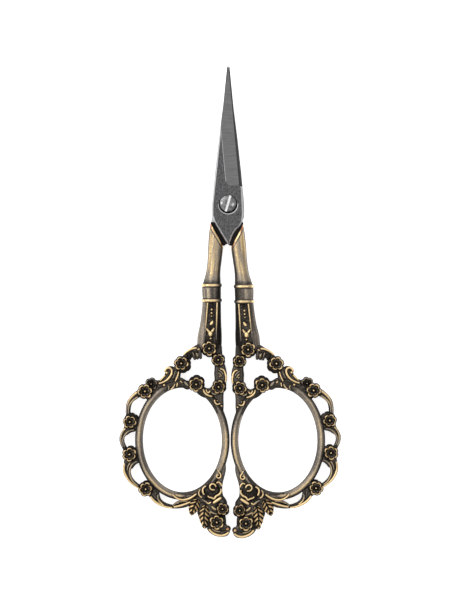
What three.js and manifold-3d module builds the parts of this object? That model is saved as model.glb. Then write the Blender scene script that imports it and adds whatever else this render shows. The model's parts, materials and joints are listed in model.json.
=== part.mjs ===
// Embroidery scissors: two steel blades set in ornamental cast handles and joined by a slotted pivot screw.
// Millimetres. The scissors lie flat and closed, +Z up, blades pointing along +Y, the right half at +X.
// Every piece is drawn about the pivot axis, with z = 0 on the plane where the two blades meet.
// The left half is the right half turned half a revolution about the Y axis, as in the real tool.
import * as THREE from 'three';
import { mergeVertices } from 'three/addons/utils/BufferGeometryUtils.js';
import Module from 'manifold-3d';

// Lengths along the scissors
const BLADE_REACH = 37; // pivot to blade tip
const BOLSTER_TOP_DROP = 5.5; // pivot down to the outer end of the bolster's slanted face
const BOLSTER_FOOT_DROP = 11.55; // pivot down to the inner end of the slanted face
const COLLAR_DROP = 22.1; // pivot down to the upper bead of the collar
const COLLAR_LENGTH = 4.05; // between the collar's two beads
const SHANK_DROP = 39.05; // pivot down to the flower at the foot of the shank
const CROWN_HEIGHT = 10.5; // foot of the shank to the top of the finger hole
const HOLE_HEIGHT = 28;
const TAIL_HEIGHT = 12.2; // bottom of the finger hole to the lowest scroll

// Widths and thicknesses
const HOLE_WIDTH = 21.2;
const RING_BAND = 2.1; // width of the finger ring's band
const RING_THICKNESS = 3.4;
const HANDLE_THICKNESS = 5.2; // over the flowers and the collar beads
const SCROLL_THICKNESS = 3;
const LEAF_THICKNESS = 4;
const CLOSED_GAP = 0.3; // between the two handles when shut
const SHANK_INSET = 1.8; // axis to the inner side of the shank
const UPPER_SHANK_WIDTH = 3.9;
const UPPER_SHANK_THICKNESS = 4.2;
const COLLAR_WIDTH = 5.4;
const LOWER_SHANK_WIDTH = 4.9; // just under the collar
const SHANK_FOOT_WIDTH = 6.9; // where the shank spreads into the crown
const BEAD_LENGTH = 1.05; // length of one collar bead
const BOLSTER_INSET = 1.15; // axis to the inner end of the slanted face
const BOLSTER_OUTSET = 4.65; // axis to the outer end of the slanted face
const BOLSTER_BEVEL = 0.35;
const PANEL_DEPTH = 0.3; // sunk panel on the lower shank
const PANEL_MARGIN = 1.05; // shank side to the panel
const FLOWER_RADIUS = 1.85;
const SMALL_FLOWER_RADIUS = 1.65;
const ROSE_RADIUS = 2.7;
const STOP_RADIUS = 0.85; // bead that meets its neighbour when the handles shut
const STOP_RISE = 2.2; // lowest scroll up to the middle of that bead

// Blades, tang and screw
const BLADE_THICKNESS = 1.4;
const BLADE_GAP = 0.06; // running gap between the two blades
const RICASSO_HALF_WIDTH = 4.2; // flat part of the blade beside the screw
const HEEL_HALF_WIDTH = 3.5; // pivot line to the cutting edge at the heel
const HEEL_RISE = 4.8; // pivot up to the heel
const TONGUE_DROP = 10.9; // pivot down to the point below the screw
const TIP_OFFSET = 0.1; // pivot line to the blade's point
const TIP_WIDTH = 0.25; // blunt end beside the point
const RICASSO_CHAMFER = 0.38;
const TONGUE_CHAMFER = 0.25; // along the two sides that run down to the point below the screw
const GRIND_DEPTH = 0.75; // ground face below the flat at the heel
const GRIND_CORNER = 0.53; // pivot line to the ground face's corner at the heel
const SPINE_RISE = 20.5; // pivot up to where the ground face reaches the spine
const SPINE_OFFSET = 2; // pivot line to that place
const EDGE_BEVEL_WIDTH = 0.45;
const EDGE_THICKNESS = 0.1; // at the heel
const TIP_EDGE_THICKNESS = 0.35;
const TANG_THICKNESS = 1;
const TANG_WIDTH = 1.6;
const TANG_LENGTH = 14; // from the top of the slanted face to the tang's end
const TANG_CLEARANCE = 0.1;
const HEAD_DIAMETER = 4.4;
const HEAD_THICKNESS = 0.7;
const RECESS_DIAMETER = 5;
const RECESS_LOW = 0.2; // the recess is bored a little below the screw
const RECESS_DEPTH = 0.6;
const SHOULDER_DIAMETER = 2.8;
const THREAD_DIAMETER = 2.2;
const SCREW_CLEARANCE = 0.05;
const SLOT_WIDTH = 0.65;
const SLOT_DEPTH = 0.35;
const SLOT_ANGLE = 17; // degrees, leaning right of the blades' line

const HANDLE_REACH = SHANK_DROP + CROWN_HEIGHT + HOLE_HEIGHT + TAIL_HEIGHT;
const MID_Z = HANDLE_THICKNESS / 2;
const RING = new THREE.Vector2(
  HOLE_WIDTH / 2 + RING_BAND + CLOSED_GAP / 2,
  -(SHANK_DROP + CROWN_HEIGHT + HOLE_HEIGHT / 2),
);
const FAR = 200; // beyond everything, for cutters
// How each handle sits on its blade: turned about the pivot (degrees), then shifted along x and y.
const RIGHT_SEAT = { turn: 0.48, x: -0.52, y: -0.26 };
const LEFT_SEAT = { turn: -0.34, x: 0.34, y: 0.18 };
const PIVOT_Y = (HANDLE_REACH - RIGHT_SEAT.y - BLADE_REACH) / 2;
const BLADE_LEAN = 0.57; // degrees, both blades lean towards the right handle's side
const SMOOTHING = 0.02; // slivers finer than this are dropped from the casting

const wasm = await Module();
wasm.setup();

function solid(geometry) {
  const shell = geometry.clone();
  shell.deleteAttribute('normal');
  shell.deleteAttribute('uv');
  const welded = mergeVertices(shell, 1e-4);
  return new wasm.Manifold(new wasm.Mesh({
    numProp: 3,
    vertProperties: new Float32Array(welded.attributes.position.array),
    triVerts: new Uint32Array(welded.index.array),
  }));
}

function geometryOf(shape) {
  const mesh = shape.getMesh();
  const geometry = new THREE.BufferGeometry();
  geometry.setAttribute('position', new THREE.BufferAttribute(new Float32Array(mesh.vertProperties), 3));
  geometry.setIndex(new THREE.BufferAttribute(new Uint32Array(mesh.triVerts), 1));
  return geometry.toNonIndexed();
}

function joined(shapes) {
  return shapes.reduce((whole, shape) => whole.add(shape));
}

function point(x, y) {
  return new THREE.Vector2(x, y);
}

// A closed shell through loops of points, each loop with the same number of points.
// The two end caps are flat, or rise to a middle point by the height given.
function loft(loops, { ringShaped = false, capRise = 0 } = {}) {
  const count = loops[0].length;
  const positions = loops.flat().flatMap((p) => [p.x, p.y, p.z]);
  const faces = [];
  const spans = ringShaped ? loops.length : loops.length - 1;
  for (let i = 0; i < spans; i += 1) {
    const here = i * count;
    const next = ((i + 1) % loops.length) * count;
    for (let j = 0; j < count; j += 1) {
      const k = (j + 1) % count;
      faces.push(here + j, next + j, next + k, here + j, next + k, here + k);
    }
  }
  if (!ringShaped) {
    for (const [loop, start, turn] of [[loops[0], 0, 1], [loops.at(-1), (loops.length - 1) * count, -1]]) {
      const middle = positions.length / 3;
      const centre = loop.reduce((sum, p) => sum.add(p), new THREE.Vector3()).divideScalar(count);
      positions.push(centre.x, centre.y, centre.z + turn * capRise);
      for (let j = 0; j < count; j += 1) {
        const k = (j + 1) % count;
        faces.push(middle, start + (turn > 0 ? j : k), start + (turn > 0 ? k : j));
      }
    }
  }
  const geometry = new THREE.BufferGeometry();
  geometry.setAttribute('position', new THREE.Float32BufferAttribute(positions, 3));
  geometry.setIndex(faces);
  const shape = solid(geometry);
  if (shape.volume() > 0) return shape;
  const turned = [];
  for (let i = 0; i < faces.length; i += 3) turned.push(faces[i], faces[i + 2], faces[i + 1]);
  geometry.setIndex(turned);
  return solid(geometry);
}

function prism(outline, bottom, top) {
  const options = { depth: top - bottom, bevelEnabled: false };
  const geometry = new THREE.ExtrudeGeometry(new THREE.Shape(outline), options);
  return solid(geometry.translate(0, 0, bottom));
}

// Keep what lies on the side of a plane that its normal points to.
function keptAbove(shape, normal, through) {
  const unit = normal.clone().normalize();
  return shape.trimByPlane(unit.toArray(), unit.dot(through));
}

// A polygon's corners moved outward, each by its own distance.
function grown(outline, distanceAt) {
  const turn = Math.sign(THREE.ShapeUtils.area(outline));
  return outline.map((corner, i) => {
    const before = corner.clone().sub(outline.at(i - 1)).normalize();
    const after = outline[(i + 1) % outline.length].clone().sub(corner).normalize();
    const normal = point(before.y + after.y, -before.x - after.x).normalize();
    const reach = (turn * distanceAt(corner)) / (normal.x * before.y - normal.y * before.x);
    return corner.clone().addScaledVector(normal, reach);
  });
}

// A flat plate whose upper edge is chamfered by a depth that may differ from corner to corner.
function chamferedPlate(outline, bottom, top, chamfer, chamferAt) {
  const upper = grown(outline, (corner) => -chamferAt(corner));
  const levels = [[outline, bottom], [outline, top - chamfer], [upper, top]];
  const count = outline.length;
  const positions = levels.flatMap(([loop, z]) => loop.flatMap((p) => [p.x, p.y, z]));
  const faces = [];
  for (const here of [0, count]) {
    for (let j = 0; j < count; j += 1) {
      const k = (j + 1) % count;
      faces.push(here + j, here + k, here + count + k, here + j, here + count + k, here + count + j);
    }
  }
  for (const [a, b, c] of THREE.ShapeUtils.triangulateShape(outline, [])) faces.push(a, c, b);
  for (const corners of THREE.ShapeUtils.triangulateShape(upper, [])) {
    faces.push(...corners.map((corner) => corner + 2 * count));
  }
  const geometry = new THREE.BufferGeometry();
  geometry.setAttribute('position', new THREE.Float32BufferAttribute(positions, 3));
  geometry.setIndex(faces);
  return solid(geometry);
}

function disc(diameter, bottom, top) {
  const profile = [point(0, bottom), point(diameter / 2, bottom), point(diameter / 2, top), point(0, top)];
  return solid(new THREE.LatheGeometry(profile, 36).rotateX(Math.PI / 2));
}

// Blades

const bladeBottom = BLADE_GAP / 2;
const bladeTop = bladeBottom + BLADE_THICKNESS;
const tip = point(TIP_OFFSET + TIP_WIDTH, BLADE_REACH - TIP_WIDTH);
const heel = point(HEEL_HALF_WIDTH, HEEL_RISE);

// Outline of the tang and the neck that leads to it, inside the right handle.
function tangOutline() {
  const end = -(BOLSTER_TOP_DROP + TANG_LENGTH);
  const inner = SHANK_INSET + (UPPER_SHANK_WIDTH - TANG_WIDTH) / 2;
  const neck = BOLSTER_OUTSET - 0.5;
  return [
    point(1, -BOLSTER_TOP_DROP + 3),
    point(neck - 0.35, -BOLSTER_TOP_DROP + 2.4),
    point(neck - 0.05, -BOLSTER_TOP_DROP + 1.5),
    point(neck + 0.15, -BOLSTER_TOP_DROP + 0.65),
    point(BOLSTER_OUTSET - 0.1, -BOLSTER_TOP_DROP + 0.1),
    point(BOLSTER_OUTSET - 0.3, -BOLSTER_TOP_DROP - 0.45),
    point(neck - 0.1, -BOLSTER_TOP_DROP - 1.1),
    point(neck + 0.1, -BOLSTER_FOOT_DROP),
    point(inner + TANG_WIDTH, end),
    point(inner, end),
    point(inner - 0.4, -BOLSTER_FOOT_DROP - 1.6),
    point(BOLSTER_INSET + 0.85, -TONGUE_DROP - 0.6),
    point(BOLSTER_INSET - 0.2, -TONGUE_DROP - 0.45),
    point(0.55, -TONGUE_DROP - 0.3),
    point(0.3, -TONGUE_DROP + 0.1),
  ];
}

function bladeOutline() {
  const shoulder = RICASSO_HALF_WIDTH - 0.05;
  const outline = new THREE.Shape();
  outline.moveTo(tip.x, tip.y);
  outline.lineTo(TIP_OFFSET, BLADE_REACH);
  outline.quadraticCurveTo(-0.66 * RICASSO_HALF_WIDTH, 0.47 * BLADE_REACH, -RICASSO_HALF_WIDTH - 0.15, -0.3);
  outline.lineTo(-RICASSO_HALF_WIDTH - 0.15, -TONGUE_DROP + 7.4);
  outline.quadraticCurveTo(-4.1, -TONGUE_DROP + 6.55, -3.2, -TONGUE_DROP + 5.07);
  outline.lineTo(-0.62, -TONGUE_DROP + 0.77);
  outline.quadraticCurveTo(-0.2, -TONGUE_DROP + 0.12, 0.35, -TONGUE_DROP - 0.05);
  outline.lineTo(0.5, -TONGUE_DROP + 0.05);
  outline.bezierCurveTo(0.85, -TONGUE_DROP + 1.7, 1.58, -TONGUE_DROP + 3.5, 2.66, -TONGUE_DROP + 4.3);
  outline.quadraticCurveTo(4, -TONGUE_DROP + 5.4, shoulder, -TONGUE_DROP + 7.7);
  outline.lineTo(HEEL_HALF_WIDTH + 0.3, HEEL_RISE - 0.6);
  outline.lineTo(heel.x, heel.y);
  return outline.getPoints(8);
}

// The flat ground face, shallow beside the spine and deeper at the cutting edge.
function grindCutter() {
  const plan = [
    point(-FAR, HEEL_RISE + 1.2),
    point(-GRIND_CORNER, HEEL_RISE + 1.2),
    point(-GRIND_CORNER + 0.3, HEEL_RISE + 0.3),
    point(-GRIND_CORNER + 1.2, HEEL_RISE - 0.1),
    point(FAR, HEEL_RISE - 0.1),
    point(FAR, FAR),
    point(-FAR, FAR),
  ];
  const corner = new THREE.Vector3(-GRIND_CORNER, HEEL_RISE, bladeTop);
  const spine = new THREE.Vector3(-SPINE_OFFSET, SPINE_RISE, bladeTop);
  const edge = new THREE.Vector3(heel.x, heel.y, bladeTop - GRIND_DEPTH);
  const normal = edge.clone().sub(corner).cross(spine.clone().sub(corner));
  return keptAbove(prism(plan, bladeBottom, bladeTop + 1), normal, edge);
}

function edgeCutter() {
  const along = tip.clone().sub(heel).normalize();
  const low = new THREE.Vector3(heel.x, heel.y, bladeBottom + EDGE_THICKNESS);
  const far = new THREE.Vector3(tip.x, tip.y, bladeBottom + TIP_EDGE_THICKNESS);
  const rise = BLADE_THICKNESS - GRIND_DEPTH - EDGE_THICKNESS;
  const across = new THREE.Vector3(-along.y * EDGE_BEVEL_WIDTH, along.x * EDGE_BEVEL_WIDTH, rise);
  const plan = [
    point(-1, HEEL_RISE - 0.1),
    point(HEEL_HALF_WIDTH + 2, HEEL_RISE - 0.1),
    point(HEEL_HALF_WIDTH + 2, BLADE_REACH + 2),
    point(-1, BLADE_REACH + 2),
  ];
  return keptAbove(prism(plan, bladeBottom, bladeTop + 1), far.sub(low).cross(across), low);
}

// A handle, or the tang inside it, moved from the symmetrical layout to where it sits on its blade.
function seated(shape, seat, rise) {
  return shape.rotate([0, 0, seat.turn]).translate([seat.x, rise, 0]);
}

function bladeBlank(seat, lean) {
  const pointed = (corner) => corner.y > SPINE_RISE || corner.y < -TONGUE_DROP + 0.3;
  const side = (corner) => (corner.y < -TONGUE_DROP + 6.4 ? TONGUE_CHAMFER : RICASSO_CHAMFER);
  const chamferAt = (corner) => (pointed(corner) ? 0.02 : side(corner));
  const flat = chamferedPlate(bladeOutline(), bladeBottom, bladeTop, RICASSO_CHAMFER, chamferAt);
  const ground = flat.subtract(grindCutter()).subtract(edgeCutter()).rotate([0, 0, lean]);
  const tang = prism(tangOutline(), bladeBottom, bladeBottom + TANG_THICKNESS);
  return ground.add(seated(tang, seat, 0));
}

function frontBlade(blank) {
  const bore = disc(SHOULDER_DIAMETER + 2 * SCREW_CLEARANCE, -FAR, FAR);
  const recess = disc(RECESS_DIAMETER, bladeTop - RECESS_DEPTH, FAR).translate([0, -RECESS_LOW, 0]);
  return blank.subtract(bore).subtract(recess);
}

function rearBlade(blank) {
  return blank.subtract(disc(THREAD_DIAMETER + 2 * SCREW_CLEARANCE, -FAR, FAR));
}

function pivotScrew() {
  const seat = bladeTop - RECESS_DEPTH + SCREW_CLEARANCE;
  const crown = seat + HEAD_THICKNESS;
  const step = -bladeBottom + SCREW_CLEARANCE;
  const round = 0.15;
  const profile = [
    point(0, -bladeTop),
    point(THREAD_DIAMETER / 2 - round, -bladeTop),
    point(THREAD_DIAMETER / 2, -bladeTop + round),
    point(THREAD_DIAMETER / 2, step),
    point(SHOULDER_DIAMETER / 2, step),
    point(SHOULDER_DIAMETER / 2, seat),
    point(HEAD_DIAMETER / 2, seat),
    point(HEAD_DIAMETER / 2, crown - round),
    point(HEAD_DIAMETER / 2 - round, crown),
    point(0, crown),
  ];
  const body = solid(new THREE.LatheGeometry(profile, 36).rotateX(Math.PI / 2));
  const slot = new THREE.BoxGeometry(SLOT_WIDTH, HEAD_DIAMETER + 1, 2 * SLOT_DEPTH);
  slot.rotateZ(-THREE.MathUtils.degToRad(SLOT_ANGLE)).translate(0, 0, crown);
  return body.subtract(solid(slot));
}

// Handles

// A spot given by its angle round the finger hole and its distance outside the hole's edge.
function besideRing(degrees, out) {
  const angle = THREE.MathUtils.degToRad(degrees);
  const edge = point((HOLE_WIDTH / 2) * Math.cos(angle), (HOLE_HEIGHT / 2) * Math.sin(angle));
  const normal = point(HOLE_HEIGHT * Math.cos(angle), HOLE_WIDTH * Math.sin(angle)).normalize();
  return RING.clone().add(edge).addScaledVector(normal, out);
}

const PLAIN = [[1, 0], [0.72, 0.78], [0, 1], [-0.72, 0.78], [-1, 0]];
const DOUBLE = [[1, 0], [0.95, 0.6], [0.6, 1], [0, 0.62], [-0.6, 1], [-0.95, 0.6], [-1, 0]];
const RIDGED = [[1, 0], [0.9, 0.4], [0, 1], [-0.9, 0.4], [-1, 0]];

// The upper half of a cross-section and its reflection below the middle plane.
function wholeSection(upper) {
  return [...upper, ...upper.slice(1, -1).reverse().map(([u, v]) => [u, -v])];
}

function sectionLoop(section, at, along, width, thickness) {
  const side = point(along.y, -along.x).normalize();
  return wholeSection(section).map(([u, v]) => {
    const spot = at.clone().addScaledVector(side, (u * width) / 2);
    return new THREE.Vector3(spot.x, spot.y, (v * thickness) / 2);
  });
}

// A bar through [spot, width] pairs, its width changing evenly from one spot to the next.
function strap(bar, thickness, section) {
  const curve = new THREE.SplineCurve(bar.map(([spot]) => spot));
  const spans = bar.length - 1;
  const loops = [];
  for (let i = 0; i <= 2 * spans; i += 1) {
    const t = i / (2 * spans);
    const span = Math.min(Math.floor(t * spans), spans - 1);
    const width = THREE.MathUtils.lerp(bar[span][1], bar[span + 1][1], t * spans - span);
    loops.push(sectionLoop(section, curve.getPoint(t), curve.getTangent(t), width, thickness));
  }
  return loft(loops);
}

function ring() {
  const loops = [];
  const steps = 40;
  for (let i = 0; i < steps; i += 1) {
    const degrees = (360 * i) / steps;
    const along = besideRing(degrees + 1, 0).sub(besideRing(degrees - 1, 0));
    loops.push(sectionLoop(PLAIN, besideRing(degrees, RING_BAND / 2), along, RING_BAND, RING_THICKNESS));
  }
  return loft(loops, { ringShaped: true });
}

// A six-petalled flower, dished on both faces round a raised centre.
function flower(centre, radius, petals = 6, thickness = HANDLE_THICKNESS) {
  const half = thickness / 2;
  const face = [[0.36, 0, half - 0.6], [0.82, 0.16, half], [1, 0.18, half - 0.5]];
  const loops = [];
  for (const [share, lobe, z] of [...face, ...face.map(([s, l, h]) => [s, l, -h]).reverse()]) {
    const loop = [];
    for (let petal = 0; petal < petals; petal += 1) {
      for (const [offset, dip] of [[-0.5, lobe], [-0.18, 0], [0.18, 0]]) {
        const angle = ((petal + offset) * 2 * Math.PI) / petals;
        const reach = radius * (share - dip);
        const x = centre.x + reach * Math.cos(angle);
        loop.push(new THREE.Vector3(x, centre.y + reach * Math.sin(angle), z));
      }
    }
    loops.push(loop);
  }
  return loft(loops, { capRise: 0.45 });
}

// A domed petal cluster with a flat bud, the pad the handle rests on.
function rose(centre) {
  const half = HANDLE_THICKNESS / 2;
  const tiers = [
    [0.34, 0, half],
    [0.42, 0, half - 0.5],
    [0.66, 0.06, half - 0.2],
    [0.72, 0.06, half - 0.9],
    [1, 0.1, half - 0.8],
  ];
  const loops = [];
  for (const [share, lobe, z] of [...tiers, ...tiers.map(([s, l, h]) => [s, l, -h]).reverse()]) {
    const loop = [];
    for (let i = 0; i < 20; i += 1) {
      const angle = (i * Math.PI) / 10;
      const reach = ROSE_RADIUS * (share - lobe * (i % 4 === 0 ? 1 : 0));
      const x = centre.x + reach * Math.cos(angle);
      loop.push(new THREE.Vector3(x, centre.y + reach * Math.sin(angle), z));
    }
    loops.push(loop);
  }
  return loft(loops);
}

function shankLoop(drop, inner, width, thickness) {
  const loop = [];
  const corners = 14;
  for (let i = 0; i < corners; i += 1) {
    const angle = (2 * Math.PI * i) / corners;
    const u = Math.sign(Math.cos(angle)) * Math.abs(Math.cos(angle)) ** 0.8;
    const v = Math.sign(Math.sin(angle)) * Math.abs(Math.sin(angle)) ** 0.8;
    loop.push(new THREE.Vector3(inner + (width * (1 + u)) / 2, -drop, (thickness * v) / 2));
  }
  return loop;
}

function collarBead(drop) {
  const inner = SHANK_INSET - 0.1;
  return [
    shankLoop(drop - BEAD_LENGTH / 2, inner + 0.2, COLLAR_WIDTH - 0.4, HANDLE_THICKNESS - 0.4),
    shankLoop(drop - BEAD_LENGTH / 4, inner, COLLAR_WIDTH, HANDLE_THICKNESS),
    shankLoop(drop + BEAD_LENGTH / 4, inner, COLLAR_WIDTH, HANDLE_THICKNESS),
    shankLoop(drop + BEAD_LENGTH / 2, inner + 0.2, COLLAR_WIDTH - 0.4, HANDLE_THICKNESS - 0.4),
  ];
}

function shank() {
  const lowerBead = COLLAR_DROP + COLLAR_LENGTH;
  const flare = BOLSTER_FOOT_DROP + 3;
  const drum = COLLAR_WIDTH - 0.5;
  const widest = SHANK_DROP - 1.6;
  const upper = UPPER_SHANK_THICKNESS;
  const middleWidth = (LOWER_SHANK_WIDTH + SHANK_FOOT_WIDTH) / 2 - 0.3;
  const loops = [
    shankLoop(BOLSTER_TOP_DROP - 1, BOLSTER_INSET - 0.2, BOLSTER_OUTSET - BOLSTER_INSET + 0.2, upper),
    shankLoop(BOLSTER_FOOT_DROP - 0.6, BOLSTER_INSET - 0.15, UPPER_SHANK_WIDTH + 0.3, upper),
    shankLoop(BOLSTER_FOOT_DROP + 1, SHANK_INSET - 0.6, UPPER_SHANK_WIDTH + 0.1, upper),
    shankLoop(flare, SHANK_INSET - 0.25, UPPER_SHANK_WIDTH, upper),
    shankLoop(COLLAR_DROP - 4.4, SHANK_INSET, UPPER_SHANK_WIDTH + 0.05, upper),
    shankLoop(COLLAR_DROP - 1.4, SHANK_INSET, UPPER_SHANK_WIDTH + 0.45, (upper + HANDLE_THICKNESS - 0.4) / 2),
    ...collarBead(COLLAR_DROP),
    shankLoop(COLLAR_DROP + COLLAR_LENGTH / 2, SHANK_INSET + 0.1, drum, HANDLE_THICKNESS - 0.5),
    ...collarBead(lowerBead),
    shankLoop(lowerBead + 0.9, SHANK_INSET + 0.1, LOWER_SHANK_WIDTH, HANDLE_THICKNESS - 0.6),
    shankLoop((lowerBead + widest) / 2, SHANK_INSET + 0.1, middleWidth, HANDLE_THICKNESS - 0.7),
    shankLoop(widest, SHANK_INSET, SHANK_FOOT_WIDTH, HANDLE_THICKNESS - 1),
    shankLoop(SHANK_DROP + 1.2, SHANK_INSET + 0.5, SHANK_FOOT_WIDTH - 1.6, SCROLL_THICKNESS),
  ];
  return loft(loops);
}

// The bolster's slanted face, bevelled front and back, cut across the top of the shank.
function slantCut(body) {
  const outer = new THREE.Vector3(BOLSTER_OUTSET, -BOLSTER_TOP_DROP, 0);
  const inner = new THREE.Vector3(BOLSTER_INSET, -BOLSTER_FOOT_DROP, 0);
  const along = outer.clone().sub(inner);
  const normal = new THREE.Vector3(along.y, -along.x, 0).normalize();
  let cut = keptAbove(body, normal, outer);
  for (const side of [1, -1]) {
    const tilted = normal.clone().add(new THREE.Vector3(0, 0, -side));
    const edge = outer.clone().setZ(side * (UPPER_SHANK_THICKNESS / 2 - BOLSTER_BEVEL));
    cut = keptAbove(cut, tilted, edge);
  }
  return cut;
}

function panelCutter() {
  const top = -(COLLAR_DROP + COLLAR_LENGTH + 1.1);
  const foot = -(SHANK_DROP - FLOWER_RADIUS - 0.4);
  const inner = SHANK_INSET + PANEL_MARGIN;
  const outline = [
    point(inner, top),
    point(inner + LOWER_SHANK_WIDTH - 2 * PANEL_MARGIN, top),
    point(inner + SHANK_FOOT_WIDTH - 2.6 * PANEL_MARGIN, foot),
    point(inner + 0.4, foot),
  ];
  const bed = HANDLE_THICKNESS / 2 - 0.5 - PANEL_DEPTH;
  return prism(outline, bed, FAR).add(prism(outline, -FAR, -bed));
}

function handle(seat) {
  const foot = point(SHANK_INSET + SHANK_FOOT_WIDTH / 2, -SHANK_DROP);
  const innerFlower = point(SHANK_INSET + 1.1, -(SHANK_DROP + 3.1));
  const archFlower = besideRing(90.3, 6.6);
  const crownFlower = besideRing(107.9, 1.7);
  const sideFlower = besideRing(128.5, 4.6);
  const upperPair = besideRing(58.5, 4.1);
  const bows = [besideRing(49.5, 3.9), besideRing(17.4, 4), besideRing(-12.3, 3.9), besideRing(-48.3, 3.9)];
  const roseAt = besideRing(-123.6, 3);
  const stopAt = point(CLOSED_GAP / 2 + STOP_RADIUS, STOP_RISE - HANDLE_REACH);
  const upperTail = point(stopAt.x + 1.3, stopAt.y + 5.4);
  const lowerTail = point(stopAt.x + 2.9, stopAt.y + 1.85);
  const shortLeafRoot = besideRing(-104, 2);
  const shortLeafTip = besideRing(-96.3, 6.1);
  const longLeafRoot = besideRing(-113, 2.6);
  const longLeafTip = point(stopAt.x + 6.1, stopAt.y);

  const flowers = [
    flower(point(foot.x, foot.y), FLOWER_RADIUS),
    flower(innerFlower, SMALL_FLOWER_RADIUS),
    flower(archFlower, FLOWER_RADIUS),
    flower(crownFlower, FLOWER_RADIUS),
    flower(sideFlower, FLOWER_RADIUS),
    flower(upperPair, SMALL_FLOWER_RADIUS, 6, HANDLE_THICKNESS - 0.6),
    ...bows.map((spot) => flower(spot, FLOWER_RADIUS)),
    flower(upperTail, SMALL_FLOWER_RADIUS),
    flower(lowerTail, FLOWER_RADIUS),
    rose(roseAt),
  ];

  // Each bar is listed as [spot, width] pairs along its length.
  const around = (degrees, out, width) => [besideRing(degrees, out), width];
  const innerMiddle = point(SHANK_INSET + 0.7, (innerFlower.y + sideFlower.y) / 2);
  const tailMiddle = point(lowerTail.x + 0.5, (roseAt.y + lowerTail.y) / 2);
  const tailEnd = point(stopAt.x + 3.2, stopAt.y - 0.8);
  const scrolls = [
    [[bows[0], 1.8], around(43, 5.2, 1.9), around(37, 5.9, 1.6), around(30, 5.8, 1.4), around(24, 5.4, 1.3),
      [bows[1], 1.2]],
    [[bows[1], 2.2], around(9.5, 4.4, 2.1), around(4, 5.6, 1.5), around(-1, 5.7, 1.3), around(-5.5, 5.1, 1.2),
      [bows[2], 1.1]],
    [[bows[2], 2.4], around(-19, 4.6, 2.6), around(-25, 5.6, 1.9), around(-32, 6.1, 1.5),
      around(-39.5, 5.4, 1.1), [bows[3], 1]],
    [[bows[3], 2], around(-58, 4.1, 2), around(-69, 4.6, 1.2), around(-78, 4.4, 1), around(-90, 3.3, 1.9),
      [shortLeafRoot, 1.4]],
    [[point(foot.x + 2.3, foot.y + 1), 2.8], [point(foot.x + 4.5, foot.y - 0.9), 3.2], [archFlower, 2.4]],
    [[innerFlower, 2.4], [innerMiddle, 3.3], [sideFlower, 2.4]],
    [[archFlower, 2.2], around(88, 4, 2.4), around(87, 1, 3)],
    [around(86, 3.2, 2.2), around(79, 4.8, 2.2), around(74, 3.9, 2.6), around(67, 3.2, 2.4), [upperPair, 2]],
    [[longLeafTip, 1], [point(stopAt.x + 4, stopAt.y - 0.85), 1.5],
      [point(stopAt.x + 2.1, stopAt.y - 1.45), 1.5], [stopAt, 1.1]],
  ].map((bar) => strap(bar, SCROLL_THICKNESS, DOUBLE));

  const fillets = [
    [around(86, 1.8, 3), around(72, 2.2, 3.4), around(60, 2.2, 2.6)],
    [[roseAt, 3.4], [tailMiddle, 5], [lowerTail, 5], [tailEnd, 5.6]],
    [[point(SHANK_INSET + 1.4, 1.5 - SHANK_DROP), 2.6], [innerFlower, 2.4]],
  ].map((bar) => strap(bar, SCROLL_THICKNESS, PLAIN));

  const ridges = [
    [[crownFlower, 2.6], around(121, 2.4, 3.4), [sideFlower, 2.8]],
    [[point(foot.x + 2, foot.y - 0.6), 1.6], [point(archFlower.x - 3, archFlower.y + 2), 3], [archFlower, 2.6]],
    [[sideFlower, 3], around(134, 2.2, 3), around(143, 1.4, 1.6)],
    [[roseAt, 2.6], around(-111, 2, 3.2), [shortLeafRoot, 2.4]],
    [[roseAt, 2.4], around(-133, 3.1, 2), around(-145, 1.6, 1)],
    [[upperTail, 2], [upperTail.clone().lerp(roseAt, 0.5), 2.4], [roseAt, 2.4]],
  ].map((bar) => strap(bar, SCROLL_THICKNESS, RIDGED));

  const leaves = [
    [[shortLeafRoot, 2.2], [shortLeafRoot.clone().lerp(shortLeafTip, 0.55), 2.6], [shortLeafTip, 0.4]],
    [[longLeafRoot, 4], [longLeafRoot.clone().lerp(longLeafTip, 0.5), 3.4], [longLeafTip, 1]],
  ].map((bar) => strap(bar, LEAF_THICKNESS, RIDGED));

  // Necks that join each outer flower to the ring.
  const necks = [upperPair, ...bows].map((spot, i) => {
    const degrees = [58.5, 49.5, 17.4, -12.3, -48.3][i];
    return strap([[spot, 2.2], [besideRing(degrees, RING_BAND / 2), 2.4]], SCROLL_THICKNESS, PLAIN);
  });

  const stop = solid(new THREE.SphereGeometry(STOP_RADIUS, 12, 8).translate(stopAt.x, stopAt.y, 0));
  const stem = slantCut(shank()).subtract(panelCutter());
  const hole = grown(tangOutline(), () => TANG_CLEARANCE);
  const socket = prism(hole, bladeBottom - TANG_CLEARANCE, bladeBottom + TANG_THICKNESS + TANG_CLEARANCE);
  const ornament = [...scrolls, ...fillets, ...ridges, ...leaves, ...necks, ...flowers];
  const casting = joined([ring(), stem, ...ornament, stop]);
  return seated(casting, seat, seat.y).subtract(seated(socket, seat, 0)).simplify(SMOOTHING);
}

// Assembly

const STEEL = new THREE.MeshStandardMaterial({ color: 0x75777a, metalness: 1, roughness: 0.4 });
const BRASS = new THREE.MeshStandardMaterial({ color: 0xb39a66, metalness: 1, roughness: 0.4 });
const NICKEL = new THREE.MeshStandardMaterial({ color: 0xc4c6c8, metalness: 1, roughness: 0.25 });

const scissors = new THREE.Group();
scissors.name = 'embroidery_scissors';

function place(name, shape, material, turned) {
  const mesh = new THREE.Mesh(geometryOf(shape), material);
  mesh.name = name;
  mesh.position.set(0, PIVOT_Y, MID_Z);
  mesh.rotation.y = turned ? Math.PI : 0;
  mesh.geometry.computeVertexNormals();
  scissors.add(mesh);
}

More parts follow.
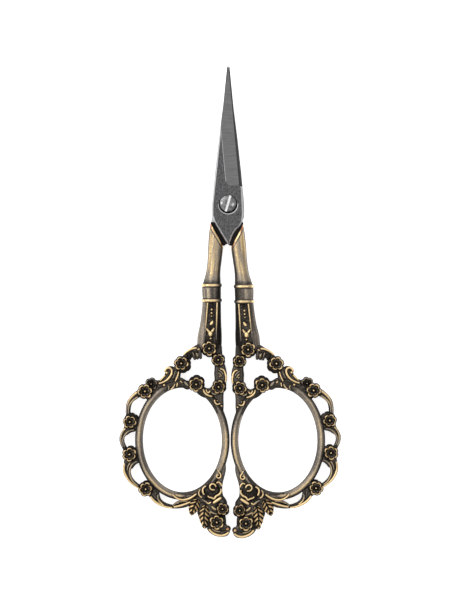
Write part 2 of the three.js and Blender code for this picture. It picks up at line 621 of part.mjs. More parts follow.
place('rear_blade', rearBlade(bladeBlank(LEFT_SEAT, BLADE_LEAN)), STEEL, true);
place('left_handle', handle(LEFT_SEAT), BRASS, true);
place('pivot_screw', pivotScrew(), NICKEL, false);
place('front_blade', frontBlade(bladeBlank(RIGHT_SEAT, -BLADE_LEAN)), STEEL, false);
place('right_handle', handle(RIGHT_SEAT), BRASS, false);

export default scissors;
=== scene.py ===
"""Embroidery scissors: steel blades, a slotted pivot screw and cast antique brass handles.

The file is laid out as an add-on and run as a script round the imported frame.
Handles are drawn in millimetres about the pivot: x outward on the right handle, y towards the tips,
z from the plane where the blades meet. The left handle is the right one turned about the y axis.
"""
import json
import math

import bmesh
import bpy
import numpy as np
from mathutils import Matrix, Vector


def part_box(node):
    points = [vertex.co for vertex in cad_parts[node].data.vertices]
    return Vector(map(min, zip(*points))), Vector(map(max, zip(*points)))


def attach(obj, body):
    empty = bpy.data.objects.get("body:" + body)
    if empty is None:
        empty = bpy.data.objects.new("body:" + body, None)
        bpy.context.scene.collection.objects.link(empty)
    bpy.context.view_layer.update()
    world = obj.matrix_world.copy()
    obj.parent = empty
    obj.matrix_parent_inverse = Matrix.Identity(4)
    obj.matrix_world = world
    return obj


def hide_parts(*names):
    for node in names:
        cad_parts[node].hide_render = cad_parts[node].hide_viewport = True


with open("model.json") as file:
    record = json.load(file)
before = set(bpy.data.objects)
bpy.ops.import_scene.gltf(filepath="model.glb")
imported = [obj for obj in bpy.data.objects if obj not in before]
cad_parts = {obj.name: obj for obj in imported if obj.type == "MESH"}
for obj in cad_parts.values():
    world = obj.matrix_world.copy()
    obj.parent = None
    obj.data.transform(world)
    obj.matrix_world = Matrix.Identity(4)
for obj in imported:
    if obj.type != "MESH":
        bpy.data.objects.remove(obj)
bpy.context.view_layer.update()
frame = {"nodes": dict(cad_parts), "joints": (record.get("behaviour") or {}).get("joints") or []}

bl_info = {
    "name": "Embroidery scissors",
    "version": (1, 0, 0),
    "blender": (4, 5, 0),
    "location": "3D View > Sidebar > Scissors",
    "description": "Builds ornamental embroidery scissors round their packed frame",
    "category": "Add Mesh",
}

MM = 0.001
PIVOT = Vector(frame["joints"][0]["pos_m"])
HALF_THICKNESS = (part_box("right_handle")[1][2] - PIVOT.z) / MM

# How bright the finger ring is rubbed: degrees round the hole, share of the full brightness
RING_SHINE = (
    (-180, 0.74), (-150, 0.7), (-140, 0.5), (-120, 0.36), (-84, 0.5), (-76, 0.77), (-45, 0.8),
    (-25, 0.72), (20, 0.68), (48, 0.76), (62, 0.7), (72, 0.3), (140, 0.35), (150, 0.6), (180, 0.74),
)
# The ring's inner edge is nowhere duller than this
INNER_EDGE_SHINE = 0.72

# Where the handle's ornament sits
HOLE_CENTRE = (12.85, -63.55)
HOLE_HALF_SIZE = (10.6, 14.0)
FOOT_FLOWER = (5.25, -39.05)
INNER_FLOWER = (2.9, -42.15)
ARCH_FLOWER = (12.8, -42.95)
CROWN_FLOWER = (8.9, -48.65)
SIDE_FLOWER = (2.9, -49.4)
PAIR_FLOWER = (20.95, -48.4)
BOW_FLOWERS = ((22.65, -50.3), (26.85, -58.45), (27.05, -67.15), (22.85, -76.55))
ROSE = (5.0, -77.45)
UPPER_TAIL_FLOWER = (2.3, -82.15)
LOWER_TAIL_FLOWER = (3.9, -85.7)
STOP_BEAD = (1.0, -87.55)
# How each casting sits on its blade: turn in degrees, shift in x and in y
RIGHT_SEAT = (0.48, -0.52, -0.26)
LEFT_SEAT = (-0.34, 0.34, 0.18)

# Half of a bar's cross-section from its edge to its middle: across, height, rubbed bright
BODY = ((1, 0.4, -0.05), (0.99, 0.7, 0.02), (0.9, 0.88, 0.14), (0.55, 0.98, 0.21), (0, 1, 0.23))
BROWN = ((1, 0.4, 0), (0.99, 0.7, 0.1), (0.9, 0.88, 0.25), (0.55, 0.98, 0.34), (0, 1, 0.36))
RIDGE = ((1.2, 0.4, -0.1), (1.2, 0.8, 0.1), (1.05, 0.9, 0.75), (0.65, 0.98, 1.05), (0, 1, 1.05))
# The finger ring's cross-section from its outer to its inner edge
BAND = (
    (1, 0.3, 0), (0.95, 0.6, 0), (0.86, 0.76, 0.12), (0.74, 0.86, 0.36), (0.6, 0.9, 0.42), (0.5, 0.9, 0.5),
    (0.4, 0.94, 0.8), (0.2, 1, 1), (0, 1, 1), (-0.14, 0.98, 0.85), (-0.26, 0.95, 0.7), (-0.38, 0.93, 0.8),
    (-0.6, 0.84, 0.8), (-0.8, 0.66, 0.55), (-0.95, 0.4, 0.1), (-1, 0.25, 0),
)
# A flower from its middle dot to its skirt: share of the radius, height below the top, rubbed, scalloped
FLOWER = (
    (0.05, 0.12, 1.1, 0), (0.11, 0.2, 1, 0), (0.15, 0.4, 0.1, 0), (0.19, 0.75, -0.3, 0),
    (0.34, 0.9, -0.1, 0.3), (0.5, 0.82, 0.34, 0.6), (0.65, 0.72, 0.24, 0.9), (0.74, 0.42, -0.2, 1),
    (0.78, 0.08, 0.85, 1), (0.85, 0, 1.1, 1), (0.92, 0.05, 1.02, 1), (0.98, 0.25, 0.2, 1),
    (1.03, 0.75, -0.1, 0.9), (1.1, 1.3, 0, 0.5),
)
STUD = ((0.35, 0.04, 1, 0), (0.66, 0.16, 1, 0), (0.87, 0.4, 0.6, 0), (1, 0.8, 0.1, 0))
SKIRT = ((0.5, 0, 0, 0), (0.85, 0.1, 0.02, 0.5), (0.96, 0.3, 0.05, 1), (1, 0.7, -0.1, 1))


def length_property(name, description, default, least, most):
    """A length that the sidebar shows, given here in millimetres."""
    return bpy.props.FloatProperty(
        name=name, description=description, default=default * MM, min=least * MM, max=most * MM,
        unit="LENGTH", precision=5)


class HandleSizes(bpy.types.PropertyGroup):
    """Sizes of the cast handles' relief"""

    ring_band: length_property("Ring band", "Width of the finger ring's band", 2.1, 1, 4)
    ring_thickness: length_property("Ring thickness", "Thickness of the finger ring", 3.4, 1, 5)
    flower_radius: length_property(
        "Flower radius", "Radius over the petals of a full-size flower", 1.98, 1, 2.5)
    small_flower_radius: length_property(
        "Small flower radius", "Radius over the petals of a small flower", 1.66, 1, 2.5)
    petals: bpy.props.IntProperty(
        name="Petals", description="Petals on each flower", default=6, min=4, max=8)
    panel_depth: length_property("Panel depth", "How far the panel on the lower shank is sunk", 0.45, 0, 1)
    bolster_bevel: length_property(
        "Bolster bevel", "Width of the bright bevel where the blade enters the handle", 0.33, 0.1, 1)


def colour_property(name, description, default):
    """A colour that the sidebar shows."""
    return bpy.props.FloatVectorProperty(
        name=name, description=description, default=default, size=3, min=0, max=1, subtype="COLOR")


class Finishes(bpy.types.PropertyGroup):
    """Colours of the metals"""

    copper: colour_property("Copper", "Where the rubbing has gone deepest", (0.38, 0.15, 0.085))
    gold: colour_property("Rubbed brass", "Brass where the relief is rubbed bright", (0.88, 0.65, 0.34))
    brass: colour_property("Brass", "Brass on broad plain surfaces", (0.49, 0.367, 0.205))
    tarnish: colour_property("Tarnish", "Dull brass half rubbed clean", (0.265, 0.228, 0.19))
    patina: colour_property("Patina", "Dark finish left in the recesses", (0.02, 0.017, 0.0155))
    ground: colour_property("Ground steel", "Steel on the ground faces", (0.163, 0.163, 0.165))
    blackened: colour_property("Blackened steel", "Steel on the flats round the screw", (0.1, 0.1, 0.102))
    # The cutting bevel's near black is painted shade
    edge: colour_property("Cutting edge", "Narrow bevel along the cutting edge", (0.035, 0.035, 0.036))
    # Bright steel on the chamfers is partly a painted highlight, and it also paints the light on the recess
    # rim and in the upper recess
    bright: colour_property("Bright steel", "Chamfers of the blades", (0.52, 0.52, 0.53))
    screw: colour_property("Screw", "Turned head of the screw", (0.2, 0.2, 0.203))
    # The slot's floor is the head's own steel, painted far brighter as a highlight
    slot: colour_property("Slot", "Floor of the screw's slot", (0.8, 0.8, 0.8))
    # The neck's black also paints shade on the necks' low and side faces, and the head's shadow in the recess
    neck: colour_property("Neck", "Black neck of each blade", (0.014, 0.013, 0.013))


class StageSettings(bpy.types.PropertyGroup):
    """Floor and camera"""

    floor: colour_property("Floor", "Colour of the floor", (0.9, 0.9, 0.9))
    camera_height: length_property("Camera height", "Camera above the floor", 900, 300, 5000)
    view_height: length_property(
        "View height", "Length of floor that fills the picture's height", 162.6, 50, 1000)
    roll: bpy.props.FloatProperty(
        name="Roll", description="Turn of the picture", default=math.radians(-0.47), subtype="ANGLE")


# Curves and shells


def eased(keys, values, at):
    """Smooth values at places between keys, through each of the values given there."""
    keys = np.asarray(keys, float)
    values = np.asarray(values, float).reshape(len(keys), -1)
    slopes = np.gradient(values, keys, axis=0, edge_order=2 if len(keys) > 2 else 1)
    i = np.clip(np.searchsorted(keys, at, side="right") - 1, 0, len(keys) - 2)
    span = (keys[i + 1] - keys[i])[:, None]
    t = (np.asarray(at) - keys[i])[:, None] / span
    start = (2 * t**3 - 3 * t**2 + 1) * values[i] + (t**3 - 2 * t**2 + t) * span * slopes[i]
    return start + (3 * t**2 - 2 * t**3) * values[i + 1] + (t**3 - t**2) * span * slopes[i + 1]


def read_off(table, at, period=None):
    """Values between a table's rows of place and value."""
    return np.interp(at, *np.transpose(table), period=period)


def travel(points):
    """How far along a line each of its points lies."""
    return np.r_[0, np.cumsum(np.linalg.norm(np.diff(points, axis=0), axis=1))]


def shell(loops, rub_and_painted_light, lie, ring_shaped=False):
    """A closed shell through loops of points, as (points, faces, rubbed brightness with painted light in
    places, lie of the grain).
    """
    loops = np.asarray(loops, float)
    turns, count = loops.shape[:2]
    spans = turns if ring_shaped else turns - 1
    faces = []
    for i in range(spans):
        here, there = i * count, (i + 1) % turns * count
        for j in range(count):
            k = (j + 1) % count
            faces.append((here + j, here + k, there + k, there + j))
    if not ring_shaped:
        faces.append(tuple(range(count))[::-1])
        faces.append(tuple(range((turns - 1) * count, turns * count)))
    rub_and_painted_light = np.asarray(rub_and_painted_light, float).ravel()
    return loops.reshape(-1, 3), faces, rub_and_painted_light, np.asarray(lie, float).reshape(-1, 3)


def swept(spots, across, heights, rub_and_painted_light, ring_shaped=False):
    """A shell along spots in the middle plane, the same on both faces."""
    if ring_shaped:
        ahead = np.roll(spots, -1, axis=0) - np.roll(spots, 1, axis=0)
    else:
        ahead = np.gradient(spots, axis=0)
    sides = np.stack([ahead[:, 1], -ahead[:, 0]], axis=1)
    sides /= np.linalg.norm(sides, axis=1, keepdims=True)
    plan = spots[:, None, :] + sides[:, None, :] * across[:, :, None]
    upper = np.concatenate([plan, heights[:, :, None]], axis=2)
    lower = upper[:, ::-1] * (1, 1, -1)
    lie = np.stack(np.broadcast_arrays(travel(spots)[:, None], across, heights), axis=2)
    loops = np.concatenate([upper, lower], axis=1)
    rub_and_painted_light = np.concatenate([rub_and_painted_light, rub_and_painted_light[:, ::-1]], axis=1)
    return shell(loops, rub_and_painted_light, np.concatenate([lie, lie[:, ::-1]], axis=1), ring_shaped)


def spread(values, share):
    """Values given evenly along a bar, read at each share of its length."""
    values = np.atleast_1d(values)
    return np.interp(share, np.linspace(0, 1, len(values)), values)


def bar(points, width, top, section=RIDGE, shine=1.0, step=0.13):
    """A bar with rounded ends through points. Width, top and shine may be given evenly along it."""
    points = np.asarray(points, float)
    run = travel(points)
    along = np.linspace(0, run[-1], max(int(run[-1] / step), 6) + 1)
    spots = eased(run, points, along)
    share = along / run[-1]
    widths = spread(width, share)
    to_end = np.minimum(along, run[-1] - along) / (widths / 2)
    nose = np.sqrt(1 - (1 - np.minimum(to_end, 1)) ** 2)
    half = np.array(section, float)
    whole = np.concatenate([half, half[-2::-1] * (-1, 1, 1)])
    across = (widths / 2 * np.maximum(nose, 0.3))[:, None] * whole[:, 0]
    heights = (spread(top, share) * (0.85 + 0.15 * nose))[:, None] * whole[:, 1]
    rub_and_painted_light = (spread(shine, share) * (0.4 + 0.6 * nose))[:, None] * whole[:, 2]
    return swept(spots, across, heights, rub_and_painted_light)


def stem(points, width, top=1.4, section=BODY, shine=1.0):
    """A broad bar under the ornament, drawn in longer steps than a ridge."""
    return bar(points, width, top, section, shine, step=0.3)


def rosette(centre, radius, top, profile, petals=0, notch=0.3, turn=0.0, steps=60, shine=1.0, uneven=0.0):
    """A round or scalloped boss, the same on both faces. Uneven petals swell and wear by that share."""
    angles = np.arange(steps) * 2 * math.pi / steps
    place = np.abs((angles * petals / math.pi) % 2 - 1) if petals else np.zeros(steps)
    swell = 1 + uneven * (np.sin(2 * angles + 5 * turn) + 0.7 * np.sin(3 * angles + 9 * turn))
    worn = 3 * uneven * np.sin(2 * angles + 4 * turn)
    loops, rub_and_painted_light = [], []
    for share, drop, bright, lobed in profile:
        reach = radius * share * (1 - lobed * notch * place**2.8) * (1 + lobed * (swell - 1))
        vein = place**6 if 0.3 < share < 0.7 and lobed and bright < 0.5 else 0 * place
        height = top - drop + 0.3 * vein
        loops.append(np.stack([reach * np.cos(angles + turn), reach * np.sin(angles + turn), height], axis=1))
        rub_and_painted_light.append(shine * (bright + 0.5 * vein + lobed * worn * max(bright, 0)))
    back = [loop * (1, 1, -1) for loop in loops[::-1]]
    loops = np.array(loops + back)
    return shell(loops + (*centre, 0), rub_and_painted_light + rub_and_painted_light[::-1], loops)


def stud(centre, radius, top, steps=24, shine=1.0):
    """A small plain bead."""
    return rosette(centre, radius, top, STUD, steps=steps, shine=shine)


def leaf(points, width, top, veins):
    """A pointed leaf with veins that run from a sunk midrib out towards the tip."""
    points = np.asarray(points, float)
    run = travel(points)
    share = np.linspace(0, 1, 90)
    across = np.linspace(1, -1, 27)
    phase = share[:, None] * veins - 0.9 * np.abs(across)
    wave = 0.5 - 0.5 * np.cos(2 * math.pi * phase)
    half = width / 2 * np.sin(math.pi * np.clip(0.12 + 0.86 * share, 0, 1)) ** 0.7
    half = half * (0.9 + 0.1 * wave[:, 0])
    rib = np.clip((np.abs(across) - 0.08) / 0.14, 0, 1)
    raised = wave * rib * np.clip((1 - np.abs(across)) / 0.08, 0, 1)
    heights = top * (1 - 0.2 * across**2) - 0.42 * (1 - raised)
    rub_and_painted_light = np.clip(2.8 * raised - 0.5, -0.2, 1.1)
    return swept(eased(run, points, share * run[-1]), half[:, None] * across, heights, rub_and_painted_light)


# The cast handle, right side


def seated(turn, x, y):
    """How a casting sits on its blade: turned about the pivot, then shifted."""
    return Matrix.Translation((x, y, 0)) @ Matrix.Rotation(math.radians(turn), 4, "Z")


def around_hole(degrees, out):
    """Spots outside the finger hole's edge, by angle round it."""
    angle = np.radians(degrees)
    wide, tall = HOLE_HALF_SIZE
    edge = np.stack([wide * np.cos(angle), tall * np.sin(angle)], axis=-1)
    normal = np.stack([tall * np.cos(angle), wide * np.sin(angle)], axis=-1)
    return HOLE_CENTRE + edge + out * normal / np.linalg.norm(normal, axis=-1, keepdims=True)


def finger_ring(sizes):
    """The oval band, brightest low on its outer side and dark where the ornament covers it."""
    degrees = np.arange(100, 460, 1.6)
    spots = around_hole(degrees, sizes.ring_band / MM / 2)
    section = np.array(BAND)
    shape = (len(spots), len(section))
    across = np.broadcast_to(section[:, 0] * sizes.ring_band / MM / 2, shape)
    heights = np.broadcast_to(section[:, 1] * sizes.ring_thickness / MM / 2, shape)
    bright = read_off(RING_SHINE, degrees, period=360)[:, None]
    bright = np.where(section[:, 0] < -0.5, np.maximum(bright, INNER_EDGE_SHINE), bright)
    return swept(spots, across, heights, bright * section[:, 2], ring_shaped=True)


# The shank by distance below the pivot: drop, inner side, width, thickness
SHANK = (
    (4.3, 0.95, 3.3, 4.2), (6.5, 0.98, 3.7, 4.2), (11.5, 1.1, 4.1, 4.2), (15.1, 1.55, 3.85, 4.2),
    (19.2, 2, 4, 4.35), (21, 1.95, 4.6, 4.65), (22.1, 1.9, 4.95, 4.75), (26.15, 1.95, 4.95, 4.7),
    (31.8, 1.95, 5.6, 4.5), (36.6, 1.85, 6.6, 4.3), (38.4, 1.95, 6.5, 3.9), (40.25, 2.3, 5.3, 3),
)
SHANK_STEPS = 72
ROW_STEP = 0.3
SHANK_END = 40.2
# The bolster's slanted end, from its foot by the blade's tongue to its top, and where rows are level again
BOLSTER_FOOT = 11.55
BOLSTER_TOP = 5.25
LEVEL_DROP = 15.0
# Rows below the bolster's bevel: distance below it, share of the thickness, and brightness, dark at first as
# a painted shadow under the bevel
SHADED_UNDER_BEVEL = ((0.15, 0.98, 0.15), (0.4, 0.985, 0.4), (0.8, 1, 0.7))
COLLAR_BEADS = (22.1, 26.15)
BEAD_SWELL = 0.27
BEAD_HALF_HEIGHT = 0.5
DRUM_TOP = 21.8
DRUM_FOOT = 26.4
PANEL_TOP = 27
PANEL_INNER = ((2.95, -26.6), (3.2, -32.5), (3.35, -36.9))
PANEL_OUTER = ((5.5, -26.6), (6.05, -32.5), (6.45, -36.9))
# How bright each part is across the shank, from its inner side at -1 to its outer side at 1: rubbed brass,
# and on the upper shank and the drum also painted highlights with painted shade towards the edges
BEVEL_SHINE = (
    (-1, 0.3), (-0.9, 1.3), (-0.7, 1.4), (-0.4, 1.12), (0, 1.05), (0.4, 1.25), (0.75, 1.38), (1, 1.45),
)
# The upper shank's bright band and dark edges are a painted highlight and painted shade on its round form
UPPER_SHINE_AND_HIGHLIGHT = (
    (-1, 0.1), (-0.85, 0.35), (-0.6, 0.86), (-0.2, 0.88), (0.3, 0.95), (0.6, 1.04), (0.8, 0.98), (0.9, 0.6),
    (1, 0.3),
)
BEAD_SHINE = ((-1, 0.2), (-0.8, 0.55), (-0.4, 0.95), (0.6, 0.95), (1, 1.35))
# The drum's lighter middle and darker edges are a painted highlight and painted shade
DRUM_HIGHLIGHT_AND_SHADE = ((-1, 0.05), (-0.5, 0.2), (0, 0.38), (0.4, 0.58), (0.75, 0.62), (1, 0.3))
LOWER_SHINE = ((-1, 0), (0.1, 0.08), (0.4, 0.4), (0.9, 0.48), (1, 0.3))
# How that fades down the upper shank, by drop
UPPER_FADE = ((5, 0.8), (18, 0.76), (20.4, 0.6), (21.4, 0.25))


def shank_at(drop):
    """Inner side, width and thickness of the shank at each drop."""
    table = np.array(SHANK)
    return eased(table[:, 0], table[:, 1:], drop).T


def superellipse(count, power=0.8):
    """Points round an oval a little squarer than a circle."""
    angle = np.linspace(0, 2 * math.pi, count, endpoint=False)
    curve = np.stack([np.cos(angle), np.sin(angle)])
    return np.sign(curve) * np.abs(curve) ** power


def shank(sizes):
    """The shank from the bolster's slanted end to its foot, in rows that are slanted at first."""
    u, v = superellipse(SHANK_STEPS)
    slant = BOLSTER_FOOT - (1 + u) / 2 * (BOLSTER_FOOT - BOLSTER_TOP)
    steep = math.hypot(1, (BOLSTER_FOOT - BOLSTER_TOP) / SHANK[0][2])
    bevel = steep * sizes.bolster_bevel / MM
    inset = 1.3 * sizes.bolster_bevel / MM / SHANK[0][3]
    copper = read_off(BEVEL_SHINE, u)
    rows = [(slant + share * bevel, 1 - inset * (1 - share), copper) for share in (0, 0.5, 1)]
    # Rows just under the bevel are painted dark as its shadow, then lighten
    rows += [(slant + bevel + below, squeeze, 0 * u + shine) for below, squeeze, shine in SHADED_UNDER_BEVEL]
    start = rows[-1][0]
    rows += [(start + share * (LEVEL_DROP - start), 1, None) for share in np.linspace(0.08, 1, 14)]
    level = np.arange(LEVEL_DROP + ROW_STEP, SHANK_END, ROW_STEP)
    rows += [(np.full(len(u), drop), 1, None) for drop in level]
    grains = np.random.default_rng(5)
    loops, rub_and_painted_light, lie = [], [], []
    for drop, squeeze, shine in rows:
        loop = shank_loop(drop, u, v * squeeze)
        panel = on_panel(loop)
        sink_panel(loop, panel, sizes.panel_depth / MM)
        loops.append(loop)
        bed = grains.uniform(-0.14, 0.28, len(u))
        rub_and_painted_light.append(np.where(panel, bed, shank_wear_and_light(drop, u)) if shine is None else shine)
        lie.append(np.stack([drop, 2.2 * u, 1.5 * v], axis=1))
    return shell(loops, rub_and_painted_light, lie)


def shank_loop(drop, u, v):
    """Points round the shank, each at its own drop."""
    inner, width, thickness = shank_at(drop)
    return np.stack([inner + width * (1 + u) / 2, -drop, thickness / 2 * v], axis=1)


def shank_wear_and_light(drop, u):
    """How bright the shank is: rubbed brass with a painted highlight band above the collar, a painted
    highlight on its drum, and darker inside below it.
    """
    upper = read_off(UPPER_FADE, drop) * read_off(UPPER_SHINE_AND_HIGHLIGHT, u)
    below = np.where(drop < DRUM_FOOT, read_off(DRUM_HIGHLIGHT_AND_SHADE, u), read_off(LOWER_SHINE, u))
    return np.where(drop < DRUM_TOP, upper, below)


def border_at(border, drop):
    """How far out one of the panel's borders lies at each drop."""
    x, y = np.transpose(border)
    return np.interp(drop, -y, x)


def on_panel(loop):
    """Which of a loop's points lie inside the sunk panel's borders."""
    x, drop = loop[:, 0], -loop[:, 1]
    return (x > border_at(PANEL_INNER, drop)) & (x < border_at(PANEL_OUTER, drop)) & (drop > PANEL_TOP)


def sink_panel(loop, panel, depth):
    """Press a loop's panel points in on both faces."""
    bed = shank_at(-loop[:, 1])[2] / 2 - depth
    loop[panel, 2] = np.clip(loop[panel, 2], -bed[panel], bed[panel])


def collar_bead(drop):
    """A rounded moulding round the shank."""
    u, v = superellipse(SHANK_STEPS)
    inner, width, thickness = (part[0] for part in shank_at(np.array([drop])))
    loops, rub_and_painted_light, lie = [], [], []
    for angle in np.linspace(-1.4, 1.4, 9):
        swell = BEAD_SWELL * math.cos(angle)
        x = inner + width * (1 + u) / 2 + u * swell
        y = np.full(len(u), -drop + BEAD_HALF_HEIGHT * math.sin(angle))
        z = np.clip(v * (thickness / 2 + swell), -HALF_THICKNESS, HALF_THICKNESS)
        loops.append(np.stack([x, y, z], axis=1))
        rub_and_painted_light.append(read_off(BEAD_SHINE, u) * (1.3 * math.cos(angle) - 0.3))
        lie.append(np.stack([0.3 * x, y, z], axis=1))
    return shell(loops, rub_and_painted_light, lie)


def shank_relief():
    """The sunk panel's borders and the beads, leaf and tulip between them."""
    studs = ((4.45, -28.6, 0.4), (4.5, -29.55, 0.38), (4.55, -30.4, 0.32), (4.85, -36.35, 0.36))
    border = {"width": (0.5, 0.42, 0.32), "top": (2.34, 2.24, 2.04), "shine": (0.88, 0.76, 0.4)}
    return [
        bar(PANEL_INNER, **border),
        bar(PANEL_OUTER, **border),
        *[stud((x, y), radius, 2.25) for x, y, radius in studs],
        bar(((4.15, -31.55), (4.55, -32.3), (5.05, -32.75)), (0.22, 0.85, 0.5), 2.3),
        bar(((5.95, -33.55), (5.55, -34.2), (4.95, -34.9)), (0.3, 0.6, 0.8), 2.25),
        bar(((3.85, -33.55), (4.25, -34.2), (4.85, -34.9)), (0.3, 0.6, 0.8), 2.25),
        bar(((4.9, -34.3), (4.9, -35.9)), (1.2, 1.15, 0.85), 2.4),
    ]


def flowers(sizes):
    """The flowers, and the wider petals that show behind some of them."""
    full, small = sizes.flower_radius / MM, sizes.small_flower_radius / MM
    top = HALF_THICKNESS
    spots = [
        (FOOT_FLOWER, full), (INNER_FLOWER, small), (ARCH_FLOWER, 0.97 * full), (CROWN_FLOWER, full),
        (SIDE_FLOWER, 0.93 * full), (UPPER_TAIL_FLOWER, 0.97 * small), (LOWER_TAIL_FLOWER, full),
        *zip(BOW_FLOWERS, full * np.array((1, 0.9, 0.96, 0.95))),
    ]
    made = [
        rosette(spot, radius, top, FLOWER, sizes.petals, turn=0.35 * i, uneven=0.04)
        for i, (spot, radius) in enumerate(spots)
    ]
    made.append(rosette(PAIR_FLOWER, small, top - 0.35, FLOWER, sizes.petals, turn=0.2, shine=0.6))
    backs = (
        (ARCH_FLOWER, -0.45, -0.4, 2.25), (CROWN_FLOWER, -0.15, 0.35, 2.25), (SIDE_FLOWER, -0.25, 0.1, 1.95),
        (BOW_FLOWERS[1], -0.45, 0.35, 2.1), (BOW_FLOWERS[2], -0.3, 0.2, 2.1),
        (BOW_FLOWERS[3], -0.2, 0.2, 2.1), (INNER_FLOWER, -0.05, 0, 1.9), (FOOT_FLOWER, 0, -0.2, 2.2),
        (UPPER_TAIL_FLOWER, 0, -0.2, 1.9),
    )
    for (x, y), dx, dy, radius in backs:
        made.append(rosette((x + dx, y + dy), radius, 1.75, SKIRT, sizes.petals, notch=0.1))
    return made


def crown():
    """Arch, scrolls and leaves between the shank's foot and the finger ring."""
    bodies = [
        stem(((7.2, -38.5), (9.5, -39.75), (11.2, -41.2), ARCH_FLOWER), 2.2, 1.45),
        stem((INNER_FLOWER, (2.35, -45.8), SIDE_FLOWER), (2.4, 3.5, 2.6), 1.45),
        stem(((3.2, -37.5), INNER_FLOWER), (2.6, 2.4), 1.5, shine=0.4),
        stem((ARCH_FLOWER, (14.2, -45.5), (14.4, -48.6)), (2.2, 2.5, 3)),
        stem(((14, -47.3), (12.4, -48.3), (10.4, -49.6)), (2.2, 2.2, 2)),
        stem(((13.9, -46.4), (16, -44.9), (16.75, -46.6), (18.2, -47.7), PAIR_FLOWER),
             (2.2, 2.5, 1.5, 1.3, 1.8)),
        stem(((13.8, -47.7), (17.2, -48.2), (19.3, -49.8)), (3, 3.4, 2.6)),
        stem((CROWN_FLOWER, (5.7, -51.1), SIDE_FLOWER), (2.6, 2.7, 2.8)),
        stem((SIDE_FLOWER, (3, -52), (2.85, -53.8), (2.4, -57)), (3.2, 2.8, 2.4, 1.4), 1.45),
        stem(around_hole(np.linspace(64, 152, 9), 1.05), 2, (1.6, 1.72, 1.72, 1.6)),
    ]
    gold = [
        bar(((8.5, -38.9), (9.6, -39), (10.6, -39.4), (11.5, -40), (12.2, -40.7)), (0.5, 0.5, 0.38), 2.1),
        bar(((2.5, -44.5), (1.5, -44.9), (1, -46.1), (0.9, -47.3), (1.1, -48.2)), (0.4, 0.48, 0.45), 1.95),
        bar(((17.2, -45.2), (17, -44.5), (16.3, -44.1), (15.5, -44.5), (15.4, -45.3), (15.8, -46.3),
             (16.6, -47.2), (17.8, -47.9), (19, -48.3)), (0.5, 0.55, 0.5, 0.35), 2.05),
        bar(((17.1, -46), (17.8, -46.7), (18.7, -47.6)), (0.45, 0.4, 0.25), 1.95, shine=0.9),
        bar(((13.55, -45), (13.9, -46.4), (14.6, -47.8)), (0.3, 0.4, 0.35), 1.85),
        bar(((7, -49.8), (6.7, -50.8), (5.9, -51.5), (4.5, -51.9)), (0.35, 0.5, 0.4), 1.98),
        bar(((6.3, -49.9), (5.7, -50.9), (5.1, -50.2)), (0.35, 0.42, 0.35), 1.9),
        bar(((3.95, -52.7), (3.9, -53.5), (3.45, -54), (2.8, -53.95), (2.4, -53.6)), (0.35, 0.42, 0.3), 1.98),
        bar(((3.4, -52.9), (3.15, -53.3)), (0.3, 0.35), 1.95, shine=0.8),
        bar(((14.6, -48.3), (15, -49.2), (15.9, -49.9)), (0.3, 0.38, 0.3), 1.95, shine=0.85),
        bar(((13.9, -48), (14.1, -49.2)), (0.35, 0.35), 1.95),
        stud((16.8, -45.4), 0.46, 2.05),
        stud((17.5, -48.7), 0.42, 2),
        stud((2.2, -54.5), 0.34, 1.95),
    ]
    fingers = [
        bar(((7.9, -39.3), (7.75, -40.6), (7.6, -41.9)), (1, 1, 0.8), (1.9, 1.7, 1.3), BROWN),
        bar(((8.9, -39.9), (8.7, -40.9), (8.3, -42)), (0.9, 0.9, 0.7), (1.9, 1.75, 1.3), BROWN),
        bar(((9.8, -39.9), (9.4, -41.1), (9, -42.1)), (0.9, 0.95, 0.7), (1.9, 1.75, 1.3), BROWN),
        bar(((10.8, -40.2), (10.7, -41.2), (10.4, -42.1)), (1.2, 1.2, 0.9), (1.9, 1.75, 1.3), BROWN, 0.2),
    ]
    dull = [
        bar(((8.85, -40.1), (8.5, -40.8), (8.2, -41.3)), (0.25, 0.35, 0.25), (2, 1.95, 1.8), shine=0.8),
        bar(((9.8, -39.9), (9.45, -40.7), (9.35, -41.3)), (0.3, 0.4, 0.25), (2, 1.95, 1.8), shine=0.6),
        bar(((8.5, -39.4), (7.7, -39.1)), (0.45, 0.5), 2.05, shine=0.85),
        bar(((3, -44.8), (2.2, -45.3), (1.6, -46.2)), (0.3, 0.38, 0.3), 1.85, shine=0.6),
        bar(((3, -45.5), (2.4, -46), (2, -46.7)), (0.3, 0.38, 0.3), 1.85, shine=0.7),
        bar(((2.9, -46.3), (2.3, -46.8)), (0.35, 0.35), 1.85, shine=0.7),
        bar(((14.3, -44.8), (14.7, -45.8), (15.2, -47)), (0.4, 0.5, 0.4), 1.8, shine=0.45),
        bar(((16.6, -48.8), (16.2, -49.4), (16.5, -50)), (0.3, 0.38, 0.3), 1.95, shine=0.7),
        bar(((13.2, -47.5), (12.6, -48.3)), (0.35, 0.45), 1.85, shine=0.8),
        bar(((12.1, -47.7), (11.6, -48.4), (10.9, -49)), (0.35, 0.85, 0.4), 1.9, shine=0.62),
        bar(((4.8, -50.7), (4.1, -51.3), (3.3, -51.1)), (0.35, 0.5, 0.35), 1.95, shine=0.65),
    ]
    return bodies + gold + fingers + dull


